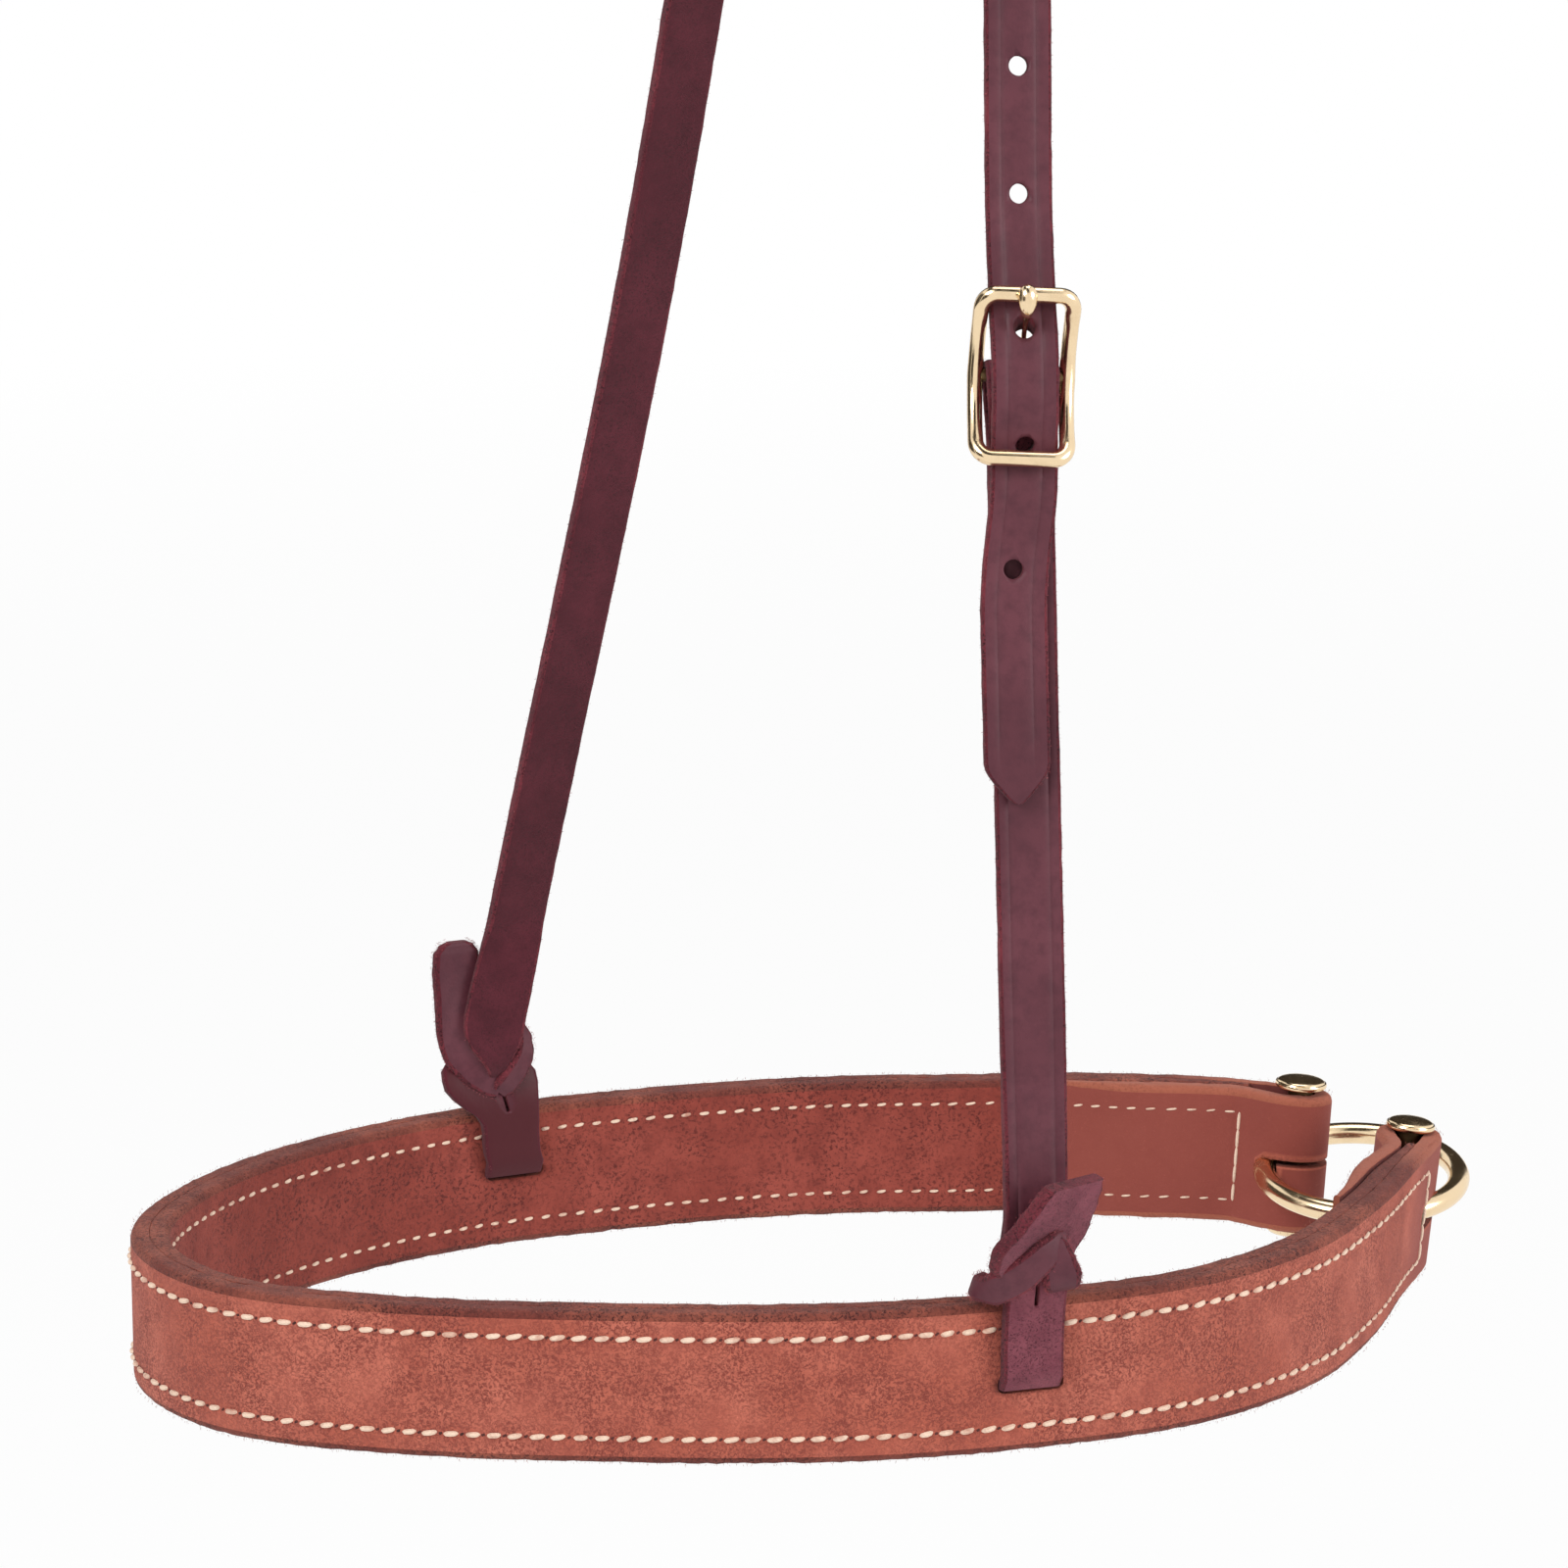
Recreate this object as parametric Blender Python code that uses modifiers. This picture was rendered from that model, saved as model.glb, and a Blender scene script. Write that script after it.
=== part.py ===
"""A tie-down noseband: two plies of harness leather bent to an open loop, closed by a ring.

The band hangs from a narrow hanger strap, tied to it at each side by a slit-braided knot.
Its two ends are folded round upright screw posts, and a brass ring passes through a slot in
each eye and round both posts.

The model is laid out in plan from the band: X runs from the nose to the ring, Y from the
near side to the far side, and Z is up from the band's lower edge. The hanging root then puts
the underside of the crown, where a peg or the poll carries it, at the world's origin.
"""
import math

import bmesh
import bpy
from mathutils import Matrix, Vector
from mathutils.geometry import interpolate_bezier

MM = 0.001

# Leather stock
BAND_WIDTH = 25.4
OUTER_PLY = 3.3
LINER = 3.2
LINER_TIP = 1.6
FLAP_TIP = 1.2
PLY_GAP = 0.3
STRAP_WIDTH = 11.5
STRAP_THICK = 2.4
PLY_EDGE_ROUND = 0.45
STRAP_EDGE_ROUND = 0.4

# The band's outer face in plan, from beside the near post to beside the far post
BAND_PLAN = (
    (115.0, 96.0), (106.2, 70.5), (91.8, 43.2), (70.0, 20.5), (42.8, 7.4), (10.0, 0.2),
    (-30.0, 0.2), (-69.0, 5.0), (-96.0, 15.8), (-111.6, 37.5), (-112.6, 62.0),
    (-97.0, 95.0), (-66.0, 124.0), (-28.0, 141.0), (12.0, 150.4), (48.0, 149.6),
    (80.0, 142.3),
)
SPAN_STEPS = 5

# Screw posts and the folded eyes round them
NEAR_POST = (115.6, 117.0)
FAR_POST = (97.0, 132.8)
NEAR_HEADING = math.radians(75.0)
FAR_HEADING = math.radians(-7.0)
EYE_INNER = 2.8
EYE_STEPS = 10
FLAP_LENGTH = 50.0
FLAP_SKIVE = 25.0
LINER_START = 9.5
LINER_FULL = 34.0
LINER_STEP = 6.0
THROAT_FROM = 1.0
THROAT_TO = 12.5
END_STEP = 3.5
NEAR_DROP = 1.7
FAR_RISE = 1.3
NEAR_DROP_FROM = 45.0
NEAR_DROP_TO = 112.0
FAR_RISE_FROM = 55.0
FAR_RISE_TO = 91.0
ENDS_APART = (60.0, 76.0)
ENDS_APART_SLOPE = 0.9
NEAR_LEAN = math.radians(5.5)
FAR_LEAN = math.radians(3.5)
LEAN_FULL = 12.0
LEAN_REACH = 60.0

NEAR_SLOT_MID = 12.3
FAR_SLOT_MID = 12.45
EYE_SLOT_HIGH = 7.2
EYE_SLOT_BACK = 12.6

POST_BARREL = 2.4
POST_BORE = 1.6
POST_HEAD = 5.0
POST_HEAD_RIM = 0.8
POST_HEAD_DOME = 2.0
SCREW_SHANK = 1.35
SCREW_HEAD = 4.8
SCREW_HEAD_THICK = 1.7
SCREW_TIP_DROP = 5.0
BORE_TOP_DROP = 3.0
HEAD_CHAMFER = 0.25
SCREW_SLOT_WIDE = 1.0
SCREW_SLOT_DEEP = 0.7
SEAT_GAP = 0.3

# Tie-down ring
RING_CENTRE = (109.0, 126.55, 12.9)
RING_RADIUS = 18.3
RING_WIRE = 2.0
RING_SLOPE_X = 0.0
RING_SLOPE_Y = 0.15

# Hanger straps where they pass through the band
NEAR_TIE = (41.2, 7.1)
NEAR_TIE_ANGLE = math.radians(17.4)
NEAR_FLEX = (2.0, -3.9)
FAR_TIE = (-51.1, 125.4)
FAR_TIE_ANGLE = math.radians(25.0)
FAR_FLEX = (-1.7, -3.4)
TIE_SLOT_WIDE = 12.8
TIE_SLOT_MID = 12.5
TIE_SLOT_HIGH = 3.8
TIE_OFF_FACE = 1.6
FAR_TIE_OUT = 0.85
TIE_BEND = 2.2
FLEX_HEIGHT = 42.0
FLEX_SOCKET = 6.4
FLEX_SOCKET_LONG = 7.6

# Legs and crown of the hanger
LEGS_MEET = (34.0, 72.0, 505.0)
CROWN_RADIUS = 16.0
CROWN_STEPS = 12
LEG_STEP = 14.0
NEAR_LEG_ANGLE = math.radians(6.0)
FAR_LEG_ANGLE = math.radians(27.0)
NEAR_LEG_BOW = (-0.9, 270.0)
FAR_LEG_BOW = (2.0, 320.0)
SETTLE_LENGTH = 40.0
TWIST_FROM = 200.0
TWIST_LENGTH = 150.0

# Buckle, measured up the near leg from its flex line, outward from the cheek strap
BUCKLE_AT = 137.0
BUCKLE_HALF_HIGH = 13.6
BUCKLE_HALF_WIDE = 7.85
BUCKLE_CORNER = 4.2
BUCKLE_WIRE = 1.25
BUCKLE_BAR = 1.1
BUCKLE_FACE = 7.5
BUCKLE_BAR_OFF = 2.25
FOLD_THICK = 1.7
FOLD_SPACE = 1.4
FOLD_RETURN = 21.0
PRONG_SLOT_WIDE = 3.8
PRONG_SLOT_LONG = 13.0
PRONG_SLOT_DROP = 4.0
HOLE_RADIUS = 2.0
HOLE_HEIGHTS = (-31.6, 29.9, 50.7)
CURVE_HOLE = (5.3, -11.2)
CURVE_HOLE_AIM = (1.0, -0.45)
PRONG_HOLE = (6.05, 7.1)
PRONG_HOLE_AIM = (2.4, 3.4)
BILLET_SHIFT = -2.0
BILLET_TIP = 70.4
BILLET_CLEAR = 44.0
BILLET_SETTLE = 60.0

# Prong: its loop round the bar, then its shaft as (outward, up, radius) from the bar
PRONG_NECK = 0.6
PRONG_SHAFT = (
    (2.2, 3.0, 0.65), (2.9, 5.5, 0.7), (4.0, 7.3, 0.75), (5.5, 9.2, 0.8), (6.8, 11.0, 0.95),
    (7.6, 12.6, 1.1), (7.85, 13.9, 1.05), (7.6, 16.4, 0.9),
)

# Strands of the knots: (along, off the face, up), the way the width runs, width, thickness
NEAR_FRONT_TOP = (2.4, 34.0)
NEAR_WINGS = (
    ((-0.5, 2.2, 26.5), (1.0, 0.0), 11.0, 2.4), ((-1.2, 3.2, 30.5), (1.0, 0.0), 17.5, 4.6),
    ((-0.6, 3.4, 34.5), (1.0, 0.0), 16.0, 4.8), ((1.5, 3.0, 38.4), (1.0, 0.0), 9.0, 3.0),
)
NEAR_TAIL = (
    ((0.4, 4.4, 33.0), (0.9, -0.3), 10.0, 3.0), ((2.2, 5.9, 38.0), (0.87, -0.5), 11.5, 2.6),
    ((5.2, 6.6, 44.0), (0.87, -0.5), 12.0, 2.4), ((7.8, 6.4, 48.8), (0.95, -0.25), 11.0, 2.4),
)
FAR_FRONT_TOP = (1.9, 33.4)
FAR_WINGS = (
    ((-1.6, 2.6, 26.2), (1.0, 0.0), 12.3, 2.2), ((-3.8, 3.3, 29.5), (1.0, 0.0), 17.5, 4.4),
    ((-3.0, 3.3, 33.7), (1.0, 0.0), 15.0, 4.5), ((-1.0, 2.7, 37.0), (1.0, 0.0), 8.0, 2.6),
)
FAR_TAIL = (
    ((-3.8, 3.8, 31.5), (0.7, 0.7), 9.0, 2.8), ((-8.5, 4.6, 36.0), (0.75, 0.66), 10.0, 2.4),
    ((-11.6, 4.4, 43.0), (0.97, 0.2), 9.5, 2.4), ((-12.2, 3.2, 56.5), (1.0, 0.0), 9.5, 2.4),
)

LEATHER_RED = (0.43, 0.11, 0.075)
LEATHER_LINING = (0.36, 0.085, 0.06)
LEATHER_PLUM = (0.105, 0.03, 0.045)
BRASS = (0.68, 0.49, 0.22)

parts = None
cutters = None


def clear_scene():
    for item in list(bpy.data.objects):
        bpy.data.objects.remove(item, do_unlink=True)


def new_collection(name):
    group = bpy.data.collections.new(name)
    bpy.context.scene.collection.children.link(group)
    return group


def material(name, colour, roughness, metallic=0.0):
    mat = bpy.data.materials.new(name)
    mat.use_nodes = True
    shader = mat.node_tree.nodes["Principled BSDF"]
    shader.inputs["Base Color"].default_value = (*colour, 1.0)
    shader.inputs["Roughness"].default_value = roughness
    shader.inputs["Metallic"].default_value = metallic
    return mat


def new_object(name, mesh, group, mat=None):
    item = bpy.data.objects.new(name, mesh)
    group.objects.link(item)
    if mat is not None:
        mesh.materials.append(mat)
    return item


def attach(item, parent):
    """Parent an object and keep it where it stands."""
    bpy.context.view_layer.update()
    item.parent = parent
    item.matrix_parent_inverse = parent.matrix_world.inverted()


def rotate_origin(item, origin):
    """Move an object's origin to a point, leaving its mesh in place."""
    item.data.transform(Matrix.Translation(-Vector(origin)))
    item.location = origin


def shade(item, angle=40.0):
    item.data.shade_smooth()
    item.data.set_sharp_from_angle(angle=math.radians(angle))


def add_bevel(item, width, segments=2, angle=50.0):
    bevel = item.modifiers.new("edge_rounding", "BEVEL")
    bevel.width = width * MM
    bevel.segments = segments
    bevel.limit_method = "ANGLE"
    bevel.angle_limit = math.radians(angle)
    bevel.use_clamp_overlap = False
    return bevel


def cut(item, cutter, operation="DIFFERENCE"):
    change = item.modifiers.new(cutter.name, "BOOLEAN")
    change.operation = operation
    change.solver = "EXACT"
    change.object = cutter
    return change


def as_cutter(item):
    item.hide_render = True
    item.display_type = "WIRE"
    return item


def bake(item):
    """Replace an object's mesh with what its modifiers make of it."""
    bpy.context.view_layer.update()
    graph = bpy.context.evaluated_depsgraph_get()
    mesh = bpy.data.meshes.new_from_object(item.evaluated_get(graph))
    item.modifiers.clear()
    item.data = mesh
    return item


def curve_to_mesh(name, curve_item, group, mat):
    """Make a mesh object from a curve, with its caps welded on."""
    bpy.context.view_layer.update()
    graph = bpy.context.evaluated_depsgraph_get()
    mesh = bpy.data.meshes.new_from_object(curve_item.evaluated_get(graph))
    work = bmesh.new()
    work.from_mesh(mesh)
    bmesh.ops.remove_doubles(work, verts=work.verts, dist=0.00001)
    bmesh.ops.recalc_face_normals(work, faces=work.faces)
    work.to_mesh(mesh)
    work.free()
    mesh.name = name
    mesh.materials.clear()
    item = new_object(name, mesh, group, mat)
    item.matrix_world = curve_item.matrix_world
    bpy.data.objects.remove(curve_item, do_unlink=True)
    return item


def standing_strip(name, outline, height, group, mat=None):
    """A strip on edge: its outline in plan, out along one face and back along the other."""
    work = bmesh.new()
    low = [work.verts.new((x * MM, y * MM, 0.0)) for x, y in outline]
    high = [work.verts.new((x * MM, y * MM, height * MM)) for x, y in outline]
    last = len(outline) - 1
    for index in range(last + 1):
        after = (index + 1) % (last + 1)
        work.faces.new((low[index], low[after], high[after], high[index]))
    for index in range(len(outline) // 2 - 1):
        across = last - index
        for level in (low, high):
            work.faces.new((level[index], level[index + 1], level[across - 1], level[across]))
    bmesh.ops.recalc_face_normals(work, faces=work.faces)
    mesh = bpy.data.meshes.new(name)
    work.to_mesh(mesh)
    work.free()
    return new_object(name, mesh, group, mat)


def wire(name, points, radii, group, mat, cyclic=False, resolution=3):
    """A round wire through the points, with a radius at each."""
    curve = bpy.data.curves.new(name + "_path", "CURVE")
    curve.dimensions = "3D"
    curve.bevel_depth = MM
    curve.bevel_resolution = resolution
    curve.use_fill_caps = True
    spline = curve.splines.new("POLY")
    spline.points.add(len(points) - 1)
    for place, point, radius in zip(spline.points, points, radii):
        place.co = (point[0] * MM, point[1] * MM, point[2] * MM, 1.0)
        place.radius = radius
    spline.use_cyclic_u = cyclic
    item = new_object(name + "_curve", curve, group)
    return curve_to_mesh(name, item, group, mat)


def turned(name, profile, group, mat, steps=32):
    """A body turned about Z from (radius, height) pairs, listed top to bottom."""
    work = bmesh.new()
    rim = [work.verts.new((radius * MM, 0.0, height * MM)) for radius, height in profile]
    for upper, lower in zip(rim, rim[1:]):
        work.edges.new((upper, lower))
    mesh = bpy.data.meshes.new(name)
    work.to_mesh(mesh)
    work.free()
    item = new_object(name, mesh, group, mat)
    screw = item.modifiers.new("turn", "SCREW")
    screw.steps = steps
    screw.render_steps = steps
    screw.use_merge_vertices = True
    screw.merge_threshold = 0.00001
    screw.use_normal_calculate = True
    return item


def block(name, size, matrix, group):
    """A rectangular block of a size in millimetres, placed by a matrix."""
    work = bmesh.new()
    bmesh.ops.create_cube(work, size=1.0)
    mesh = bpy.data.meshes.new(name)
    work.to_mesh(mesh)
    work.free()
    mesh.transform(Matrix.Diagonal((*[side * MM for side in size], 1.0)))
    item = new_object(name, mesh, group)
    item.matrix_world = matrix
    return item


def rod(name, radius, length, centre, axis, group, sides=32):
    """A cylinder along an axis, centred on a point."""
    work = bmesh.new()
    bmesh.ops.create_cone(
        work, cap_ends=True, segments=sides, radius1=radius * MM, radius2=radius * MM,
        depth=length * MM,
    )
    mesh = bpy.data.meshes.new(name)
    work.to_mesh(mesh)
    work.free()
    item = new_object(name, mesh, group)
    turn = Vector(axis).to_track_quat("Z", "Y").to_matrix().to_4x4()
    item.matrix_world = Matrix.Translation(Vector(centre) * MM) @ turn
    return item


def ease(value):
    value = min(1.0, max(0.0, value))
    return value * value * (3.0 - 2.0 * value)


def mix(first, second, share):
    return first + (second - first) * share


def smooth_path(points, first_direction=None, last_direction=None, steps=SPAN_STEPS):
    """A smooth curve through the points, as a list of vectors."""
    knots = [Vector(point) for point in points]
    tangents = []
    for index, knot in enumerate(knots):
        before = knots[max(index - 1, 0)]
        after = knots[min(index + 1, len(knots) - 1)]
        tangents.append((after - before).normalized())
    if first_direction is not None:
        tangents[0] = Vector(first_direction).normalized()
    if last_direction is not None:
        tangents[-1] = Vector(last_direction).normalized()
    path = [knots[0]]
    for index in range(len(knots) - 1):
        start, end = knots[index], knots[index + 1]
        reach = (end - start).length / 3.0
        span = interpolate_bezier(
            start, start + tangents[index] * reach, end - tangents[index + 1] * reach, end,
            steps + 1,
        )
        path.extend(span[1:])
    return path


def directions(path):
    found = []
    for index in range(len(path)):
        before = path[max(index - 1, 0)]
        after = path[min(index + 1, len(path) - 1)]
        found.append((after - before).normalized())
    return found


def inward(direction):
    """The side of a plan direction that faces the inside of the band."""
    return Vector((direction.y, -direction.x))


def along(path, distance):
    """The point and direction a distance along a plan path."""
    for start, end in zip(path, path[1:]):
        length = (end - start).length
        if distance <= length:
            return start.lerp(end, distance / length), (end - start).normalized()
        distance -= length
    return path[-1].copy(), (path[-1] - path[-2]).normalized()


def path_length(path):
    return sum((end - start).length for start, end in zip(path, path[1:]))


def heading(angle):
    return Vector((math.cos(angle), math.sin(angle)))


def band_face():
    """The band's outer face in plan, from the near post to the far post."""
    near_way = heading(NEAR_HEADING)
    far_way = heading(FAR_HEADING)
    reach = EYE_INNER + OUTER_PLY
    near_end = Vector(NEAR_POST) - inward(-near_way) * reach
    far_end = Vector(FAR_POST) - inward(far_way) * reach
    return smooth_path([near_end, *BAND_PLAN, far_end], -near_way, far_way)


def liner_thickness(distance):
    return mix(LINER_TIP, LINER, ease((distance - LINER_START) / (LINER_FULL - LINER_START)))


def flap_thickness(distance):
    skive_from = FLAP_LENGTH - FLAP_SKIVE
    return mix(OUTER_PLY, FLAP_TIP, ease((distance - skive_from) / FLAP_SKIVE))


def flap_depth(distance):
    """How far the middle of the folded flap lies in from the band's outer face."""
    closed = OUTER_PLY + PLY_GAP + liner_thickness(distance) + PLY_GAP
    closed += flap_thickness(distance) / 2
    opened = OUTER_PLY + 2 * EYE_INNER + OUTER_PLY / 2
    share = ease((distance - THROAT_FROM) / (THROAT_TO - THROAT_FROM))
    return mix(opened, closed, share)


def flap_path(face):
    """Points down the flap from the eye, with the half thickness at each."""
    count = round(FLAP_LENGTH / END_STEP)
    found = []
    for index in range(count + 1):
        distance = FLAP_LENGTH * index / count
        place, way = along(face, distance)
        found.append((place, way, flap_depth(distance), flap_thickness(distance) / 2))
    return found


def eye_arc(post, way, side):
    """The middle of the ply round a post, from the main side to the flap side."""
    radius = EYE_INNER + OUTER_PLY / 2
    found = []
    for index in range(1, EYE_STEPS):
        turn = math.pi * index / EYE_STEPS
        found.append(Vector(post) - side * radius * math.cos(turn) + way * radius * math.sin(turn))
    return found


def outer_ply_outline():
    """The outer ply in plan: near flap, near eye, the long run, far eye, far flap."""
    face = band_face()
    back = list(reversed(face))
    half = OUTER_PLY / 2
    near_way, far_way = heading(NEAR_HEADING), heading(FAR_HEADING)
    middle = []
    for place, way, depth, thin in reversed(flap_path(face)):
        middle.append((place + inward(way) * depth, thin))
    near_arc = eye_arc(NEAR_POST, near_way, inward(-near_way))
    middle.extend((place, half) for place in reversed(near_arc))
    for place, way in zip(face, directions(face)):
        middle.append((place + inward(way) * half, half))
    far_arc = eye_arc(FAR_POST, far_way, inward(far_way))
    middle.extend((place, half) for place in far_arc)
    for place, way, depth, thin in flap_path(back):
        middle.append((place - inward(way) * depth, thin))
    path = [place for place, _ in middle]
    ways = directions(path)
    outer = [place - inward(way) * thin for (place, thin), way in zip(middle, ways)]
    inner = [place + inward(way) * thin for (place, thin), way in zip(middle, ways)]
    return [tuple(point) for point in outer + list(reversed(inner))]


def liner_outline():
    """The liner in plan, skived thin where it enters each eye."""
    face = band_face()
    total = path_length(face)
    count = round((total - 2 * LINER_START) / LINER_STEP)
    outer, inner = [], []
    for index in range(count + 1):
        distance = LINER_START + (total - 2 * LINER_START) * index / count
        place, way = along(face, distance)
        thick = liner_thickness(min(distance, total - distance))
        outer.append(place + inward(way) * (OUTER_PLY + PLY_GAP))
        inner.append(place + inward(way) * (OUTER_PLY + PLY_GAP + thick))
    return [tuple(point) for point in outer + list(reversed(inner))]


def at_far_end(x, y):
    """Whether a place in plan is on the far side's half of the band."""
    return y > ENDS_APART[1] + ENDS_APART_SLOPE * max(0.0, x - ENDS_APART[0])


def end_lift(x, y):
    """How much the band's ends are raised or lowered where the ring rolls them."""
    if at_far_end(x, y):
        return FAR_RISE * ease((x - FAR_RISE_FROM) / (FAR_RISE_TO - FAR_RISE_FROM))
    return -NEAR_DROP * ease((x - NEAR_DROP_FROM) / (NEAR_DROP_TO - NEAR_DROP_FROM))


def post_tilt(post, lean):
    """The lean of a post about its own middle height, in millimetres."""
    pivot = Vector((*post, BAND_WIDTH / 2 + end_lift(*post)))
    turn = Matrix.Rotation(lean, 4, "Y")
    return Matrix.Translation(pivot) @ turn @ Matrix.Translation(-pivot)


def hang_ends(item):
    """Give a flat band ply the roll of its two ends and the lean of its eyes."""
    for vertex in item.data.vertices:
        place = vertex.co / MM
        post, lean = NEAR_POST, NEAR_LEAN
        if at_far_end(place.x, place.y):
            post, lean = FAR_POST, FAR_LEAN
        away = (place.xy - Vector(post)).length
        share = 1.0 - ease((away - LEAN_FULL) / LEAN_REACH)
        place.z += end_lift(place.x, place.y)
        vertex.co = post_tilt(post, lean * share) @ place * MM


def tie_matrix(place, angle, height):
    turn = Matrix.Rotation(angle, 4, "Z")
    return Matrix.Translation(Vector((*place, height)) * MM) @ turn


def in_metres(matrix):
    """The same turn with its offset in metres."""
    return Matrix.Translation(matrix.translation * MM) @ matrix.to_3x3().to_4x4()


def eye_matrix(post, angle, lean, height):
    place = Matrix.Translation(Vector((*post, height))) @ Matrix.Rotation(angle, 4, "Z")
    return in_metres(post_tilt(post, lean) @ place)


def band_slots():
    """Cutters for the two strap slots and the two ring slots."""
    made = []
    ties = (("near_tie_slot", NEAR_TIE, NEAR_TIE_ANGLE), ("far_tie_slot", FAR_TIE, FAR_TIE_ANGLE))
    for name, place, angle in ties:
        slot = block(
            name, (TIE_SLOT_WIDE, 40.0, TIE_SLOT_HIGH), tie_matrix(place, angle, TIE_SLOT_MID),
            cutters,
        )
        made.append(as_cutter(slot))
    eyes = (
        ("near_eye_slot", NEAR_POST, NEAR_HEADING, NEAR_LEAN, NEAR_SLOT_MID),
        ("far_eye_slot", FAR_POST, FAR_HEADING, FAR_LEAN, FAR_SLOT_MID),
    )
    long = EYE_SLOT_BACK + EYE_INNER + 2 * OUTER_PLY
    for name, post, angle, lean, middle in eyes:
        matrix = eye_matrix(post, angle, lean, middle + end_lift(*post))
        matrix = matrix @ Matrix.Translation(((long / 2 - EYE_SLOT_BACK) * MM, 0.0, 0.0))
        slot = block(name, (long, 24.0, EYE_SLOT_HIGH), matrix, cutters)
        made.append(as_cutter(slot))
    return made


def make_band(swing):
    """The two plies of the noseband, slotted for the hanger and the ring."""
    slots = band_slots()
    made = []
    plies = (
        ("band_outer_ply", outer_ply_outline(), material("band_leather", LEATHER_RED, 0.82)),
        ("band_liner", liner_outline(), material("lining_leather", LEATHER_LINING, 0.82)),
    )
    for name, outline, mat in plies:
        ply = standing_strip(name, outline, BAND_WIDTH, parts, mat)
        hang_ends(ply)
        add_bevel(ply, PLY_EDGE_ROUND)
        for slot in slots:
            cut(ply, slot)
        bake(ply)
        shade(ply)
        attach(ply, swing)
        made.append(ply)
    return made


def dome_profile(radius, rim, dome, base, steps=6):
    """The top of a low domed head, from its crown down to its rim's lower corner."""
    found = []
    for index in range(steps + 1):
        turn = math.pi / 2 * index / steps
        height = base + rim + (dome - rim) * math.cos(turn)
        found.append((radius * math.sin(turn), height))
    found.append((radius, base + HEAD_CHAMFER))
    found.append((radius - HEAD_CHAMFER, base))
    return found


def make_posts(swing):
    """The near and far screw posts: a bored barrel with a domed head, and its screw."""
    brass = material("post_brass", BRASS, 0.28, 1.0)
    for side, place, lean in (("near", NEAR_POST, NEAR_LEAN), ("far", FAR_POST, FAR_LEAN)):
        stand = Matrix.Translation(Vector((*place, end_lift(*place))))
        stand = in_metres(post_tilt(place, lean) @ stand)
        top = BAND_WIDTH + SEAT_GAP
        low = -SEAT_GAP
        profile = dome_profile(POST_HEAD, POST_HEAD_RIM, POST_HEAD_DOME, top)
        profile += [
            (POST_BARREL, top), (POST_BARREL, low + SEAT_GAP), (POST_BORE, low + SEAT_GAP),
            (POST_BORE, top - BORE_TOP_DROP), (0.0, top - BORE_TOP_DROP),
        ]
        post = turned(side + "_post", profile, parts, brass)
        screw_top = top - SCREW_TIP_DROP
        profile = [
            (0.0, screw_top), (SCREW_SHANK - 0.3, screw_top), (SCREW_SHANK, screw_top - 0.5),
            (SCREW_SHANK, low), (SCREW_HEAD - 0.3, low), (SCREW_HEAD, low - 0.3),
            (SCREW_HEAD - 0.9, low - SCREW_HEAD_THICK + 0.2), (0.0, low - SCREW_HEAD_THICK),
        ]
        screw = turned(side + "_post_screw", profile, parts, brass)
        groove = block(
            side + "_screw_groove", (3 * SCREW_HEAD, SCREW_SLOT_WIDE, 2 * SCREW_SLOT_DEEP),
            Matrix.Translation((0.0, 0.0, (low - SCREW_HEAD_THICK) * MM)), cutters,
        )
        cut(bake(screw), as_cutter(groove))
        bake(screw)
        bake(post)
        for item in (post, screw):
            shade(item)
            item.matrix_world = stand
            attach(item, swing)


def ring_frame():
    """The ring's place, its crossings of the eyes' throats, and its plane."""
    normal = Vector((-RING_SLOPE_X, -RING_SLOPE_Y, 1.0)).normalized()
    centre = Vector(RING_CENTRE)
    found = []
    for post, angle in ((NEAR_POST, NEAR_HEADING), (FAR_POST, FAR_HEADING)):
        back = -heading(angle)
        start = Vector(post) - centre.xy
        half_b = start.dot(back)
        reach = -half_b + math.sqrt(half_b ** 2 - start.length_squared + RING_RADIUS ** 2)
        off = start + back * reach
        rise = RING_SLOPE_X * off.x + RING_SLOPE_Y * off.y
        found.append(centre + Vector((*off, rise)))
    near, far = found
    return centre, normal, near, far


def make_ring(swing):
    """The tie-down ring, its origin on the line through its two slots."""
    centre, normal, near, far = ring_frame()
    work_name = "tie_down_ring"
    bpy.ops.mesh.primitive_torus_add(
        major_segments=56, minor_segments=12, major_radius=RING_RADIUS * MM,
        minor_radius=RING_WIRE * MM,
    )
    ring = bpy.context.object
    ring.name = work_name
    ring.data.name = work_name
    for group in list(ring.users_collection):
        group.objects.unlink(ring)
    parts.objects.link(ring)
    ring.data.materials.append(material("ring_brass", BRASS, 0.2, 1.0))
    turn = normal.to_track_quat("Z", "X").to_matrix().to_4x4()
    ring.data.transform(Matrix.Translation(centre * MM) @ turn)
    ring.data.shade_smooth()
    rotate_origin(ring, (near + far) * MM / 2)
    attach(ring, swing)


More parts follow.
